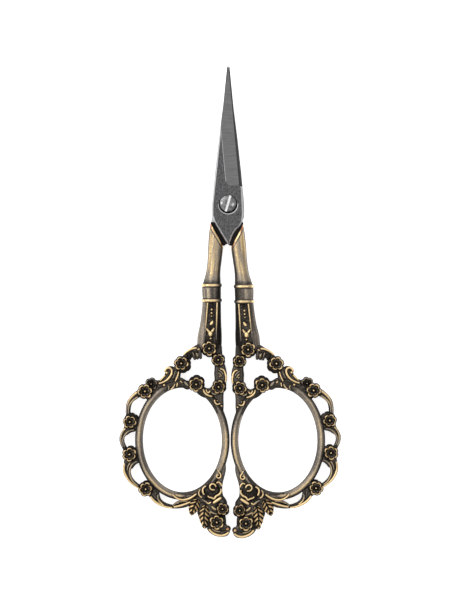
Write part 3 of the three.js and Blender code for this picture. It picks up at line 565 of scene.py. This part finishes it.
def bows():
    """The four open loops outside the ring, each with a bright outer ridge."""
    first, second, third, fourth = BOW_FLOWERS
    bodies = [
        stem((first, (25.4, -51.6), (26.9, -53.3), (27.3, -55.2), (27.3, -56.6), second),
             (1.9, 2, 1.6, 1.4, 1.3, 1.2), 1.45),
        stem((second, (27.9, -60.9), (29, -62.4), (29, -64), (28.6, -65), third),
             (2.2, 2.1, 1.5, 1.3, 1.2, 1.1), 1.45),
        stem((third, (27.4, -69.5), (27.8, -71.7), (27, -73.9), (25.4, -75.4), fourth),
             (2.4, 2.6, 1.9, 1.5, 1.1, 1), 1.45),
        stem((fourth, (20.8, -78.3), (18.5, -80.5), (15.8, -81.4), (12.85, -80.9), (9.7, -79)),
             (2, 2, 1.2, 1, 1.9, 1.4), 1.45),
        stem(((25.2, -60.6), (27, -60.9), (28.2, -61.9)), (1.1, 1.2, 1.2)),
        stem(((24.4, -68.9), (26, -69.7), (27, -71.1)), (1, 1.2, 1.3)),
        stem(((19.6, -76.6), (19.7, -78.4), (18.8, -80.2)), (1, 1.2, 1)),
    ]
    roots = zip((PAIR_FLOWER, *BOW_FLOWERS), (58.5, 49.5, 17.4, -12.3, -48.3))
    webs = (((26.3, -59.6), (25.1, -60.4)), ((26.4, -68.3), (24.7, -69)), ((22, -76.9), (19.8, -77.4)))
    necks = [stem((spot, around_hole(angle, 1)), (2.6, 3)) for spot, angle in roots]
    necks += [stem(web, 1.7) for web in webs]
    gold = [
        bar(((24.5, -50.4), (25.9, -51.4), (27, -52.8), (27.5, -54.2), (27.6, -56.6)),
            (0.6, 0.65, 0.5, 0.5), 1.9, shine=(0.9, 0.8, 0.55, 0.5)),
        bar(((27.9, -60.1), (28.9, -61.2), (29.35, -62.6), (29.3, -63.9), (28.7, -65.3)),
            (0.45, 0.55, 0.5), 1.9, shine=(0.8, 0.62, 0.5)),
        bar(((28.3, -69.4), (28.6, -71.3), (28.1, -72.9), (27.1, -74.4), (25.7, -75.6), (24.4, -76.4)),
            (0.45, 0.6, 0.5, 0.4), 1.9, shine=0.86),
        bar(((21.6, -78.4), (20.5, -79.8), (19.2, -80.7), (17.4, -81.4), (15.7, -81.6)),
            (0.5, 0.6, 0.5, 0.45), 1.9, shine=0.92),
    ]
    dull = [
        bar(((24.5, -51.7), (25.8, -52.6), (26.8, -53.8), (27.1, -56.4)),
            (0.45, 0.55, 0.45, 0.4), 1.82, shine=(0.7, 0.66, 0.5)),
        bar(((25.6, -60.6), (27.1, -60.9), (28.2, -61.9), (28.75, -63.1), (28.2, -65.2)),
            (0.35, 0.45, 0.45, 0.4), 1.82, shine=(0.6, 0.6, 0.45)),
        bar(((26.8, -69.3), (27.5, -70.4), (27.7, -71.8)), (0.35, 0.4, 0.25), 1.8, shine=(0.75, 0.5)),
        bar(((24.8, -69), (26.2, -69.7), (27, -71.1), (27.1, -72.4), (26.5, -74), (24.8, -75.7)),
            (0.45, 0.5, 0.45, 0.35), 1.82, shine=(0.5, 0.65, 0.65, 0.75)),
        bar(((20.2, -77.2), (20.4, -78.2)), 0.35, 1.8, shine=0.5),
        bar(((19.4, -77.9), (19.6, -79), (19, -80.1), (18, -80.9)),
            (0.45, 0.45, 0.45, 0.35), 1.88, shine=(0.5, 0.7, 0.95)),
    ]
    return bodies + necks + gold + dull


def rose():
    """A bud in layered petals, with the leaf-like petals under it."""
    centre = np.array(ROSE)
    top = HALF_THICKNESS
    made = [
        rosette(ROSE, 2.65, 1.75, SKIRT, 5, notch=0.1),
        rosette(ROSE, 2.2, 2.05, SKIRT, 5, notch=0.1, turn=0.6),
        bar(((4.2, -76.9), (4.8, -76.95), (5.35, -76.75), (5.65, -76.15), (5.3, -75.5), (4.7, -75.35),
             (4.2, -75.65), (4, -76.3)), (0.38, 0.42, 0.38, 0.45, 0.45, 0.38), top),
        bar(((3.9, -75.3), (3.3, -74.9), (2.7, -75.4), (2.45, -76.1)), (0.35, 0.45, 0.4), 2.3),
        bar(((6.5, -75.9), (7.4, -76.5), (7.55, -77.4), (7, -78.3)), (0.35, 0.5, 0.4), 2.3),
        bar(((8.1, -76.8), (8.6, -77.5), (8.4, -78.5), (7.6, -79)), (0.3, 0.45, 0.4), 2.05, shine=0.85),
        bar(((6.25, -78.4), (5.85, -78.9), (5.2, -79.05), (4.6, -79.35), (4, -78.65), (3.1, -78.15),
             (2.65, -77.4), (2.8, -76.6)), (0.35, 0.45, 0.5, 0.55, 0.4), 2.4),
        bar(((4.9, -80.6), (3.8, -79.9), (2.5, -79)), (0.6, 0.9, 0.65), 2.1, shine=0.94),
        bar(((7.9, -79.5), (6.9, -80), (6, -80.6), (5.3, -80.1)), (0.4, 0.55, 0.4), 2, shine=(0.5, 0.7, 1)),
    ]
    for x, y in ((5.8, -78.1), (5.1, -78.4), (4.3, -78.1), (3.6, -77.6)):
        made.append(bar((0.55 * centre + 0.45 * np.array((x, y)), (x, y)), 0.22, 2.2, shine=0.4))
    bodies = [
        stem((centre, (8.3, -79.2), (9.7, -79)), (2.6, 3.2, 2.4)),
        stem(((4.1, -77.2), (3.5, -79.3), (2.6, -81), (2.3, -82.2)), (3.4, 3.1, 3.4, 3.6)),
        stem(((1.9, -69), (2, -71.6), (2.75, -74.3), (3.05, -77), (2.75, -79.2), (1.9, -81.2), (1.3, -82.8)),
             (0.9, 1.5, 1.7, 1.5, 1.5, 1.7, 1.7), (1.55, 1.55, 1.6, 1.6, 1.5), BROWN),
        stem(around_hole(np.linspace(-148, -80, 7), 1.05), 2, (1.5, 1.72, 1.72, 1.5)),
    ]
    curl = bar(((3.45, -71.5), (3.1, -72.2), (2.65, -72.95), (2.75, -73.65), (3.35, -73.85), (3.8, -73.4),
                (3.5, -72.95), (3.15, -73.25)), (0.3, 0.38, 0.4, 0.38, 0.3), 1.95)
    return [*made, *bodies, curl]


def tail():
    """Leaves, lowest scroll and the bead that stops the handles."""
    bodies = [
        stem((ROSE, (4.6, -81.6), LOWER_TAIL_FLOWER, (4.2, -88.2)), (3.4, 4.6, 5, 5.2)),
        stem((LOWER_TAIL_FLOWER, (2.2, -87), STOP_BEAD), (2.6, 2.6, 1.6), 1.35),
        stem(((6.3, -86.8), (5.2, -88), (4, -88.6), (2.6, -88.85), (1.3, -88.45), (0.9, -87.6)),
             (1.2, 1.6, 1.8, 1.8, 1.8, 1.3)),
        stem((UPPER_TAIL_FLOWER, (3.2, -84), LOWER_TAIL_FLOWER), (2.6, 3, 3)),
        stem(((9.4, -79), (10.1, -81), (10.8, -83.4)), (2.2, 2.7, 0.7), 1.2),
        stem(((7.4, -79), (7.3, -83), (7.1, -87.5)), (3.6, 3.6, 1.1), 1.2),
        stem(((5.2, -85.2), (6.2, -87.2)), 1.7, 1.2),
    ]
    ornament = [
        leaf(((9, -79.6), (10, -81.6), (10.75, -83.8)), 2.9, 2.05, 4),
        leaf(((6.8, -81.2), (7.3, -83.9), (7.05, -87.2)), 2.85, 2.15, 5),
        stud((7.05, -87.1), 0.4, 1.8),
        bar(((15.7, -77.9), (14.9, -78.8), (13.8, -79.4), (12.4, -79.5), (11.2, -79.2), (10.1, -78.6),
             (9.2, -77.9)), (0.4, 0.5, 0.55, 0.4), 1.98),
        bar(((15, -78.1), (13.6, -78.5), (12, -78.4)), (0.5, 0.85, 0.4), 1.85, shine=(0.75, 0.72, 0.3)),
        bar(((15.7, -81.2), (14.7, -80.4), (13.4, -80), (11.6, -80)), (0.3, 0.4, 0.3), 1.75, shine=0.6),
        bar(((15.5, -81.4), (13.8, -81.1), (12.4, -80.7), (10.8, -80.1)), (0.4, 0.5, 0.4), 1.85),
        bar(((5.25, -81.3), (4.6, -82), (3.85, -82.4)), (0.4, 0.7, 0.4), 1.8, shine=0.76),
        bar(((3.65, -83.5), (4.7, -83.3), (5.55, -82.9), (5.6, -83.8)), (0.35, 0.5, 0.35), 1.78, shine=0.7),
        bar(((6, -87.4), (5.2, -88.35), (4, -89), (2.6, -89.25), (1.3, -88.8), (0.7, -88.3)),
            (0.45, 0.58, 0.58, 0.4), 1.9),
        bar(((5.3, -87.3), (4.3, -88), (2.9, -88.2)), (0.35, 0.5, 0.35), 1.7, shine=0.7),
        stud(STOP_BEAD, 0.85, 1.3, steps=32, shine=0.1),
        stud(STOP_BEAD, 0.6, 1.55, steps=32, shine=1.32),
    ]
    return bodies + ornament


def combined(name, shells, operation):
    """One closed mesh, in millimetres, from a closed shell and others joined to it or cut from it."""
    scratch = bpy.data.collections.new("shells")
    bpy.context.scene.collection.children.link(scratch)
    made = []
    for points, faces, rub_and_painted_light, lie in shells:
        mesh = bpy.data.meshes.new("shell")
        mesh.from_pydata(points.tolist(), [], faces)
        turn_outward(mesh)
        marks = (("rub_and_painted_light", "FLOAT", "value", rub_and_painted_light), ("lie", "FLOAT_VECTOR", "vector", lie))
        for key, kind, field, values in marks:
            attribute = mesh.attributes.new(key, kind, "POINT")
            attribute.data.foreach_set(field, values.astype(np.float32).ravel())
        made.append(bpy.data.objects.new("shell", mesh))
    first, *others = made
    bpy.context.scene.collection.objects.link(first)
    for shape in others:
        scratch.objects.link(shape)
    join = first.modifiers.new("join", "BOOLEAN")
    join.operation = operation
    join.operand_type = "COLLECTION"
    join.collection = scratch
    join.solver = "MANIFOLD"
    bpy.context.view_layer.update()
    whole = bpy.data.meshes.new_from_object(first.evaluated_get(bpy.context.evaluated_depsgraph_get()))
    whole.name = name
    for shape in made:
        bpy.data.meshes.remove(shape.data)
    bpy.data.collections.remove(scratch)
    return whole


def turn_outward(mesh):
    """Make all faces of a closed mesh look outward."""
    form = bmesh.new()
    form.from_mesh(mesh)
    bmesh.ops.recalc_face_normals(form, faces=form.faces)
    form.to_mesh(mesh)
    form.free()


def shown(name, mesh, body, slot, *replaced):
    """A finished piece from a mesh in the row frame."""
    piece = bpy.data.objects.new(name, mesh)
    bpy.context.scene.collection.objects.link(piece)
    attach(piece, body)
    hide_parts(*replaced)
    return piece


# Materials


def new_material(name):
    """A material with its node tree and its surface shader."""
    material = bpy.data.materials.new(name)
    material.use_nodes = True
    tree = material.node_tree
    return material, tree, tree.nodes["Principled BSDF"]


def feed(tree, node, inputs):
    """Set a node's inputs, each to a value or to another node's output."""
    for key, value in dict(inputs).items():
        if isinstance(value, bpy.types.NodeSocket):
            tree.links.new(value, node.inputs[key])
        else:
            node.inputs[key].default_value = value


def linked(tree, kind, inputs=(), **settings):
    """A new node with its settings and inputs."""
    node = tree.nodes.new(kind)
    for key, value in settings.items():
        setattr(node, key, value)
    feed(tree, node, inputs)
    return node


def maths(tree, operation, *values):
    """The result of a sum on values or other nodes' outputs."""
    return linked(tree, "ShaderNodeMath", enumerate(values), operation=operation).outputs[0]


def scaled(tree, place, factors):
    """A place with its three parts multiplied by three factors."""
    return linked(tree, "ShaderNodeVectorMath", {0: place, 1: factors}, operation="MULTIPLY").outputs[0]


def ranged(tree, value, low, high, least=0.0, most=1.0):
    """A value between least and most, spread from low to high."""
    inputs = {"Value": value, "From Min": least, "From Max": most, "To Min": low, "To Max": high}
    return linked(tree, "ShaderNodeMapRange", inputs).outputs[0]


def metal_grain_group():
    """Streaks along one set of places and specks over another, each round 0.5."""
    group = bpy.data.node_groups.new("Metal grain", "ShaderNodeTree")
    given = linked(group, "NodeGroupInput")
    result = linked(group, "NodeGroupOutput")
    for name, detail in (("Streaks", 3.0), ("Specks", 2.0)):
        group.interface.new_socket(name + " place", in_out="INPUT", socket_type="NodeSocketVector")
        group.interface.new_socket(name, in_out="OUTPUT", socket_type="NodeSocketFloat")
        inputs = {"Vector": given.outputs[name + " place"], "Scale": 1.0, "Detail": detail}
        noise = linked(group, "ShaderNodeTexNoise", inputs)
        group.links.new(noise.outputs["Fac"], result.inputs[name])
    return group


def shared_grain():
    """The metal grain group, made once."""
    return bpy.data.node_groups.get("Metal grain") or metal_grain_group()


def grain(tree, place, streaks, specks):
    """The grain's streaks and specks, from places in millimetres and repeats per millimetre."""
    whole = linked(tree, "ShaderNodeTexCoord").outputs["Object"]
    if place is None:
        place = scaled(tree, whole, (1 / MM,) * 3)
    inputs = {
        "Streaks place": scaled(tree, place, streaks),
        "Specks place": scaled(tree, whole, [repeats / MM for repeats in specks]),
    }
    node = linked(tree, "ShaderNodeGroup", inputs, node_tree=shared_grain())
    return node.outputs["Streaks"], node.outputs["Specks"]


def bumped(tree, height, strength, distance):
    """A normal roughened by a height."""
    bump = linked(tree, "ShaderNodeBump", {"Height": height, "Strength": strength, "Distance": distance})
    return bump.outputs["Normal"]


def ramp(tree, fac, stops):
    """A colour that runs through stops of place and colour."""
    node = linked(tree, "ShaderNodeValToRGB", {"Fac": fac})
    steps = node.color_ramp.elements
    while len(steps) < len(stops):
        steps.new(1)
    for step, (place, colour) in zip(steps, stops):
        step.position = place
        step.color = (*colour, 1)
    return node.outputs["Color"]


def shaded(colour, share):
    """A colour made darker or lighter."""
    return tuple(share * part for part in colour)


# How far the brass can be rubbed: 0 is patina, 1 is bright and this is down to the copper
DEEPEST = 1.45
STREAK_STRENGTH = 0.9
SPECK_STRENGTH = 0.18
SPECK_RANGE = (0.52, 0.68)
GLOSS_SPREAD = 0.08


def antique_brass(finish):
    """Brass rubbed bright on the relief, with dark patina left in the recesses, and the painted highlights
    and shadows that the shank's tables put into the same brightness.
    """
    material, tree, surface = new_material("antique_brass")
    rub_and_painted_light = linked(tree, "ShaderNodeAttribute", attribute_name="rub_and_painted_light").outputs["Fac"]
    lie = linked(tree, "ShaderNodeAttribute", attribute_name="lie").outputs["Vector"]
    streaks, specks = grain(tree, lie, (0.1, 1.3, 0.5), (3, 3, 3))
    streaky = maths(tree, "MULTIPLY_ADD", streaks, STREAK_STRENGTH, -STREAK_STRENGTH / 2)
    speckled = ranged(tree, specks, 0.0, SPECK_STRENGTH, *SPECK_RANGE)
    mask = maths(tree, "ADD", maths(tree, "ADD", rub_and_painted_light, streaky), speckled)
    stops = (
        (0, finish.patina), (0.2, shaded(finish.tarnish, 0.17)), (0.4, shaded(finish.tarnish, 0.42)),
        (0.62, finish.tarnish), (0.8, finish.brass), (1, finish.gold), (1.2, finish.gold),
        (DEEPEST, finish.copper),
    )
    colours = [(place / DEEPEST, colour) for place, colour in stops]
    feed(tree, surface, {
        "Base Color": ramp(tree, maths(tree, "DIVIDE", mask, DEEPEST), colours),
        "Roughness": ranged(tree, mask, 0.55, 0.32),
        "Normal": bumped(tree, specks, 0.3, 0.06 * MM),
        "Metallic": 1.0,
    })
    return material


def steel(name, colour, roughness, streaks, specks, contrast, bump, metallic=1.0):
    """Steel with grinding marks or a speckled blackened finish."""
    material, tree, surface = new_material(name)
    long, fine = grain(tree, None, streaks, specks)
    stops = ((0.3, shaded(colour, 1 - contrast)), (0.7, shaded(colour, 1 + contrast)))
    feed(tree, surface, {
        "Base Color": ramp(tree, long, stops),
        "Roughness": ranged(tree, fine, roughness - GLOSS_SPREAD, roughness + GLOSS_SPREAD),
        "Normal": bumped(tree, fine, bump, 0.05 * MM),
        "Metallic": metallic,
    })
    return material


# Operators


class SCISSORS_OT_blades(bpy.types.Operator):
    """Finish the two blades: softened edges, ground faces, blackened flats and black necks, with painted
    shade on the necks and cutting bevels and painted light and shadow in the screw's recess
    """

    bl_idname = "scissors.blades"
    bl_label = "Blades"

    def execute(self, context):
        finish = context.scene.scissors_finishes
        materials = [
            steel("blackened_steel", finish.blackened, 0.5, (2.4, 1.6, 2), (5, 5, 5), 0.5, 0.5),
            steel("ground_steel", finish.ground, 0.4, (0.25, 3, 1), (1.5, 10, 2), 0.14, 0.2),
            steel("bright_chamfer_and_highlight", finish.bright, 0.45, (3, 3, 3), (6, 6, 6), 0.15, 0.2, metallic=0.5),
            steel("black_neck_and_shadow", finish.neck, 0.5, (3, 3, 3), (6, 6, 6), 0.4, 0.3),
            steel("shaded_cutting_edge", finish.edge, 0.4, (4, 1, 1), (6, 6, 6), 0.2, 0.1),
        ]
        for node, body, side in (("front_blade", "front_half", 1), ("rear_blade", "rear_half", -1)):
            piece = shown(node.replace("_", "_finished_"), blade_mesh(node, side), body, "blade_steel", node)
            for material in materials:
                piece.data.materials.append(material)
        return {"FINISHED"}


# A face's finish, by the order of the blades' materials, and the finish that leaves new faces as they were
BLACKENED, GROUND, CHAMFER_AND_HIGHLIGHT, BLACK_AND_SHADOW, SHADED_CUTTING = range(5)
AS_BEFORE = -1
# Where the finishes change, up and down from the pivot
NECK_DROP = 4.95
TONGUE_DROP = 3
HEEL_RISE = 4.5
FLAT_RISE = 24
# The round recess under the screw's head, and how near to its rim a spot counts as on it
RECESS_RADIUS = 2.5
RECESS_CENTRE = (0, -0.2)
RIM_REACH = 0.05
# Heights above the plane where the blades meet, below which a face isn't the flat, the rim or the grind
FLAT_HEIGHT = 1.2
RIM_HEIGHT = 1.4
GRIND_HEIGHT = 1
# Widths of the bright lines, the one on the recess rim a painted highlight, and of the softened edges
RIM_LINE = 0.24
TONGUE_LINE = 0.09
GRIND_LINE = 0.045
SOFT_EDGE = 0.03
SHARP_ANGLE = math.radians(25)
FACET_ANGLE = math.radians(0.8)
TOUCHING = 0.001 * MM


def blade_mesh(node, side):
    """The frame's blade with its flat facets joined, edges softened and faces sorted by finish."""
    form = bmesh.new()
    form.from_mesh(frame["nodes"][node].data)
    bmesh.ops.remove_doubles(form, verts=form.verts, dist=TOUCHING)
    bmesh.ops.dissolve_limit(form, angle_limit=FACET_ANGLE, verts=form.verts, edges=form.edges)
    for rise in (-NECK_DROP, HEEL_RISE):
        bmesh.ops.bisect_plane(form, geom=form.verts[:] + form.edges[:] + form.faces[:],
                               plane_co=PIVOT + Vector((0, rise * MM, 0)), plane_no=(0, 1, 0))
    form.normal_update()
    for face in form.faces:
        face.material_index = blade_finish(face, side)
    # The lower rim of the recess gets a bright bevel: a painted highlight
    rim = [edge for edge in form.edges if all(on_recess_rim(vert.co, side) for vert in edge.verts)]
    soften(form, rim, RIM_LINE, CHAMFER_AND_HIGHLIGHT)
    tongue = [edge for edge in form.edges if bounds_tongue(edge)]
    soften(form, tongue, TONGUE_LINE, CHAMFER_AND_HIGHLIGHT)
    sharp = [edge for edge in form.edges if edge.is_manifold and edge.calc_face_angle() > SHARP_ANGLE]
    soften(form, sharp, SOFT_EDGE, AS_BEFORE)
    grind = [edge for edge in form.edges if bounds_grind(edge)]
    soften(form, grind, GRIND_LINE, CHAMFER_AND_HIGHLIGHT)
    bmesh.ops.dissolve_degenerate(form, dist=TOUCHING, edges=form.edges)
    mesh = bpy.data.meshes.new(node)
    form.to_mesh(mesh)
    form.free()
    return mesh


def on_recess_rim(spot, side):
    """Whether a spot lies on the lower part of the round recess's rim, which gets a painted highlight."""
    x, y, z = (spot - PIVOT) / MM
    out = math.dist((x, y), RECESS_CENTRE)
    low = y - RECESS_CENTRE[1] < 0.3 * RECESS_RADIUS
    return side > 0 and low and abs(out - RECESS_RADIUS) < RIM_REACH and z > RIM_HEIGHT


def finishes_beside(edge):
    """The finishes of the faces that meet at an edge."""
    return {face.material_index for face in edge.link_faces}


def bounds_tongue(edge):
    """Whether an edge divides the tongue below the screw from its chamfer, or from its side at the tip."""
    below = all(vert.co.y < PIVOT.y - TONGUE_DROP * MM for vert in edge.verts)
    return below and finishes_beside(edge) in ({BLACKENED, CHAMFER_AND_HIGHLIGHT}, {BLACKENED, BLACK_AND_SHADOW})


def bounds_grind(edge):
    """Whether an edge divides the blackened flat from the ground face above the heel."""
    outside = all(abs(vert.co.z - PIVOT.z) > GRIND_HEIGHT * MM for vert in edge.verts)
    beside_flat = all(HEEL_RISE < (vert.co.y - PIVOT.y) / MM < FLAT_RISE for vert in edge.verts)
    return outside and beside_flat and finishes_beside(edge) == {BLACKENED, GROUND}


def soften(form, edges, offset, finish):
    """Round edges off, and give the new faces a finish or leave them as the faces beside them were."""
    bmesh.ops.bevel(form, geom=edges, offset=offset * MM, segments=2, profile=0.5, affect="EDGES",
                    clamp_overlap=finish == AS_BEFORE, material=finish)


def blade_finish(face, side):
    """Which finish a face has, by where it lies and which way it looks."""
    x, y, z = (face.calc_center_median() - PIVOT) / MM
    up = face.normal.z * side
    # Below the neck, faces that look sideways or down or lie low are black: the black neck with painted shade
    if y < -NECK_DROP and (up < 0.3 or z * side < FLAT_HEIGHT):
        return BLACK_AND_SHADOW
    if up < -0.9:
        return BLACKENED if y > HEEL_RISE else CHAMFER_AND_HIGHLIGHT
    # In the recess under the head the lower part is black as a painted shadow of the head, the upper part
    # bright as painted light
    if math.dist((x, y), RECESS_CENTRE) < RECESS_RADIUS + RIM_REACH and z * side < RIM_HEIGHT:
        return BLACK_AND_SHADOW if y < 0.8 else CHAMFER_AND_HIGHLIGHT
    if up > 0.9995:
        return BLACKENED if z * side > FLAT_HEIGHT else CHAMFER_AND_HIGHLIGHT
    # The cutting bevel is painted near black as shade
    if y > HEEL_RISE and face.normal.x * side > 0.1 and 0.2 < up < 0.9:
        return SHADED_CUTTING
    # Sloped faces are chamfers in bright steel, their brightness partly a painted highlight
    return CHAMFER_AND_HIGHLIGHT if 0.2 < up <= 0.93 else GROUND


class SCISSORS_OT_pivot_screw(bpy.types.Operator):
    """Make the polished slotted screw on the pivot, its slot's floor painted bright as a highlight"""

    bl_idname = "scissors.pivot_screw"
    bl_label = "Pivot screw"

    def execute(self, context):
        finish = context.scene.scissors_finishes
        mesh = combined("pivot_screw", [screw_turning(), screw_slot()], "DIFFERENCE")
        mesh.materials.clear()
        turned = steel("turned_screw", finish.screw, 0.2, (1.2, 1.2, 1.2), (5, 5, 5), 0.55, 0.12)
        # The slot's floor gets a bright colour: a painted highlight
        bright = steel("slot_highlight", finish.slot, 0.4, (2, 2, 2), (6, 6, 6), 0.1, 0.1)
        mesh.materials.append(turned)
        mesh.materials.append(bright)
        for face in mesh.polygons:
            in_slot = face.normal.z > 0.99 and abs(face.center.z - SLOT_FLOOR) < 0.01
            face.material_index = 1 if in_slot else 0
        mesh.shade_smooth()
        mesh.set_sharp_from_angle(angle=math.radians(30))
        mesh.transform(Matrix.Translation(PIVOT) @ Matrix.Scale(MM, 4))
        shown("turned_pivot_screw", mesh, "rear_half", "bright_steel", "pivot_screw")
        return {"FINISHED"}


# The screw's outline from the thread's end to the middle of its head: radius, height
SCREW = (
    (0.6, -1.43), (0.95, -1.43), (1.1, -1.28), (1.1, 0.02), (1.4, 0.02), (1.4, 0.88), (2.14, 0.88),
    (2.2, 0.93), (2.2, 1.33), (2.17, 1.38), (2.06, 1.43), (1.8, 1.52), (1.4, 1.6), (0.9, 1.665), (0.4, 1.7),
)
SCREW_STEPS = 96
SLOT_FLOOR = 1.3
SLOT_WIDTH = 0.62
SLOT_REACH = 3
SLOT_ANGLE = math.radians(17)


def screw_turning():
    """The screw before its slot is cut."""
    angles = np.linspace(0, 2 * math.pi, SCREW_STEPS, endpoint=False)
    circle = np.stack([np.cos(angles), np.sin(angles), 0 * angles], axis=1)
    loops = [radius * circle + (0, 0, height) for radius, height in SCREW]
    return shell(loops, np.zeros((len(loops), SCREW_STEPS)), loops)


def screw_slot():
    """The block that cuts the slot, longer and taller than the head."""
    along = np.array((math.sin(SLOT_ANGLE), math.cos(SLOT_ANGLE)))
    aside = np.array((along[1], -along[0]))
    corners = ((1, 1), (1, -1), (-1, -1), (-1, 1))
    plan = [SLOT_REACH * a * along + SLOT_WIDTH / 2 * b * aside for a, b in corners]
    loops = [[(*spot, height) for spot in plan] for height in (SLOT_FLOOR, SLOT_REACH)]
    return shell(loops, np.zeros((2, 4)), loops)


class SCISSORS_OT_handles(bpy.types.Operator):
    """Cast both handles: shank, finger ring, flowers, scrolls, rose, leaves and stop bead"""

    bl_idname = "scissors.handles"
    bl_label = "Handles"

    def execute(self, context):
        sizes = context.scene.scissors_sizes
        shells = [finger_ring(sizes), shank(sizes)]
        shells += [collar_bead(drop) for drop in COLLAR_BEADS]
        shells += shank_relief() + crown() + bows() + rose() + tail() + flowers(sizes)
        casting = combined("right_handle_casting", shells, "UNION")
        casting.materials.clear()
        casting.shade_smooth()
        casting.set_sharp_from_angle(angle=math.radians(50))
        casting.materials.append(antique_brass(context.scene.scissors_finishes))
        other = casting.copy()
        place = Matrix.Translation(PIVOT) @ Matrix.Scale(MM, 4)
        casting.transform(place @ seated(*RIGHT_SEAT))
        other.transform(place @ Matrix.Rotation(math.pi, 4, "Y") @ seated(*LEFT_SEAT))
        shown("right_cast_handle", casting, "front_half", "antique_brass", "right_handle")
        shown("left_cast_handle", other, "rear_half", "antique_brass", "left_handle")
        return {"FINISHED"}


# Area lamps: name, place, size and power
LAMPS = (
    ("key", (-0.6, 0.45, 0.8), 0.9, 3),
    ("left_glint", (-0.44, 0.06, 0.9), 0.12, 0.36),
    ("right_glint", (0.31, -0.02, 0.95), 0.11, 0.3),
)
# The studio's light: where it is brightest, and its level from the far side to there
BRIGHT_SIDE = (-0.4, 0.35, 0.6)
LIGHT_LEVELS = ((0, 0.2), (0.4, 0.42), (0.75, 0.85), (0.92, 1))
LIGHT_STRENGTH = 1.05
FLOOR_HALF_WIDTH = 3.0
FLOOR_DROP = 0.05
FLOOR_GLOW = 0.74
CAMERA_SPOT = (0.0003, -0.0001)
SENSOR_HEIGHT = 24


class SCISSORS_OT_stage(bpy.types.Operator):
    """Set the white floor, soft lamps and the camera straight above"""

    bl_idname = "scissors.stage"
    bl_label = "Stage"

    def execute(self, context):
        settings = context.scene.scissors_stage
        context.scene.view_settings.view_transform = "Standard"
        make_floor(settings)
        make_world(context.scene)
        for lamp in LAMPS:
            add_lamp(*lamp)
        aim_camera(context.scene, settings)
        return {"FINISHED"}


def make_floor(settings):
    """A white floor that glows a little where it is seen directly."""
    half = FLOOR_HALF_WIDTH
    corners = [(-half, -half, 0), (half, -half, 0), (half, half, 0), (-half, half, 0)]
    mesh = bpy.data.meshes.new("floor")
    mesh.from_pydata(corners, [], [(0, 1, 2, 3)])
    floor = bpy.data.objects.new("floor", mesh)
    floor.location.z = -FLOOR_DROP * MM
    bpy.context.scene.collection.objects.link(floor)
    material, tree, surface = new_material("white_floor")
    feed(tree, surface, {
        "Base Color": (*settings.floor, 1),
        "Roughness": 0.9,
        "Specular IOR Level": 0.0,
        "Emission Color": (1, 1, 1, 1),
        "Emission Strength": maths(tree, "MULTIPLY", seen_directly(tree), FLOOR_GLOW),
    })
    mesh.materials.append(material)


def seen_directly(tree):
    """1 for rays from the camera, a mirror-like surface or glass, else 0."""
    path = linked(tree, "ShaderNodeLightPath").outputs
    either = maths(tree, "MAXIMUM", path["Is Camera Ray"], path["Is Glossy Ray"])
    return maths(tree, "MAXIMUM", either, path["Is Transmission Ray"])


def make_world(scene):
    """Soft studio light, brighter overhead and towards the upper left."""
    world = bpy.data.worlds.new("studio")
    world.use_nodes = True
    scene.world = world
    tree = world.node_tree
    direction = linked(tree, "ShaderNodeTexCoord").outputs["Generated"]
    towards = linked(tree, "ShaderNodeVectorMath", {0: direction, 1: Vector(BRIGHT_SIDE).normalized()},
                     operation="DOT_PRODUCT").outputs["Value"]
    share = ranged(tree, towards, 0.0, 1.0, least=-1.0)
    light = ramp(tree, share, [(place, (level,) * 3) for place, level in LIGHT_LEVELS])
    feed(tree, tree.nodes["Background"], {"Color": light, "Strength": LIGHT_STRENGTH})


def add_lamp(name, place, size, power):
    """An area lamp that looks at the middle of the part."""
    lamp = bpy.data.lights.new(name, "AREA")
    lamp.size = size
    lamp.energy = power
    holder = bpy.data.objects.new(name, lamp)
    holder.location = place
    holder.rotation_euler = (-Vector(place)).to_track_quat("-Z", "Y").to_euler()
    bpy.context.scene.collection.objects.link(holder)


def aim_camera(scene, settings):
    """A camera straight above, that shows the chosen length of floor."""
    camera = bpy.data.cameras.new("camera")
    camera.sensor_fit = "VERTICAL"
    camera.sensor_height = SENSOR_HEIGHT
    distance = settings.camera_height - PIVOT.z
    camera.lens = camera.sensor_height * distance / settings.view_height
    camera.clip_start = 0.01
    holder = bpy.data.objects.new("camera", camera)
    holder.location = (*CAMERA_SPOT, settings.camera_height)
    holder.rotation_euler = (0, 0, settings.roll)
    scene.collection.objects.link(holder)
    scene.camera = holder


class SCISSORS_PT_sidebar(bpy.types.Panel):
    """Sizes, finishes and the steps that build the scissors"""

    bl_idname = "SCISSORS_PT_sidebar"
    bl_label = "Embroidery scissors"
    bl_space_type = "VIEW_3D"
    bl_region_type = "UI"
    bl_category = "Scissors"

    def draw(self, context):
        layout = self.layout
        for operator in OPERATORS:
            layout.operator(operator.bl_idname)
        for name in GROUPS:
            group = getattr(context.scene, name)
            for key in group.bl_rna.properties.keys():
                if key not in ("rna_type", "name"):
                    layout.prop(group, key)


GROUPS = {"scissors_sizes": HandleSizes, "scissors_finishes": Finishes, "scissors_stage": StageSettings}
OPERATORS = (SCISSORS_OT_blades, SCISSORS_OT_pivot_screw, SCISSORS_OT_handles, SCISSORS_OT_stage)


def register():
    for group in GROUPS.values():
        bpy.utils.register_class(group)
    for name, group in GROUPS.items():
        setattr(bpy.types.Scene, name, bpy.props.PointerProperty(type=group))
    for kind in (*OPERATORS, SCISSORS_PT_sidebar):
        bpy.utils.register_class(kind)


def unregister():
    for kind in reversed((*OPERATORS, SCISSORS_PT_sidebar)):
        bpy.utils.unregister_class(kind)
    for name in GROUPS:
        delattr(bpy.types.Scene, name)
    for group in reversed(GROUPS.values()):
        bpy.utils.unregister_class(group)


def main():
    register()
    bpy.ops.scissors.blades()
    bpy.ops.scissors.pivot_screw()
    bpy.ops.scissors.handles()
    bpy.ops.scissors.stage()


if __name__ == "__main__":
    main()
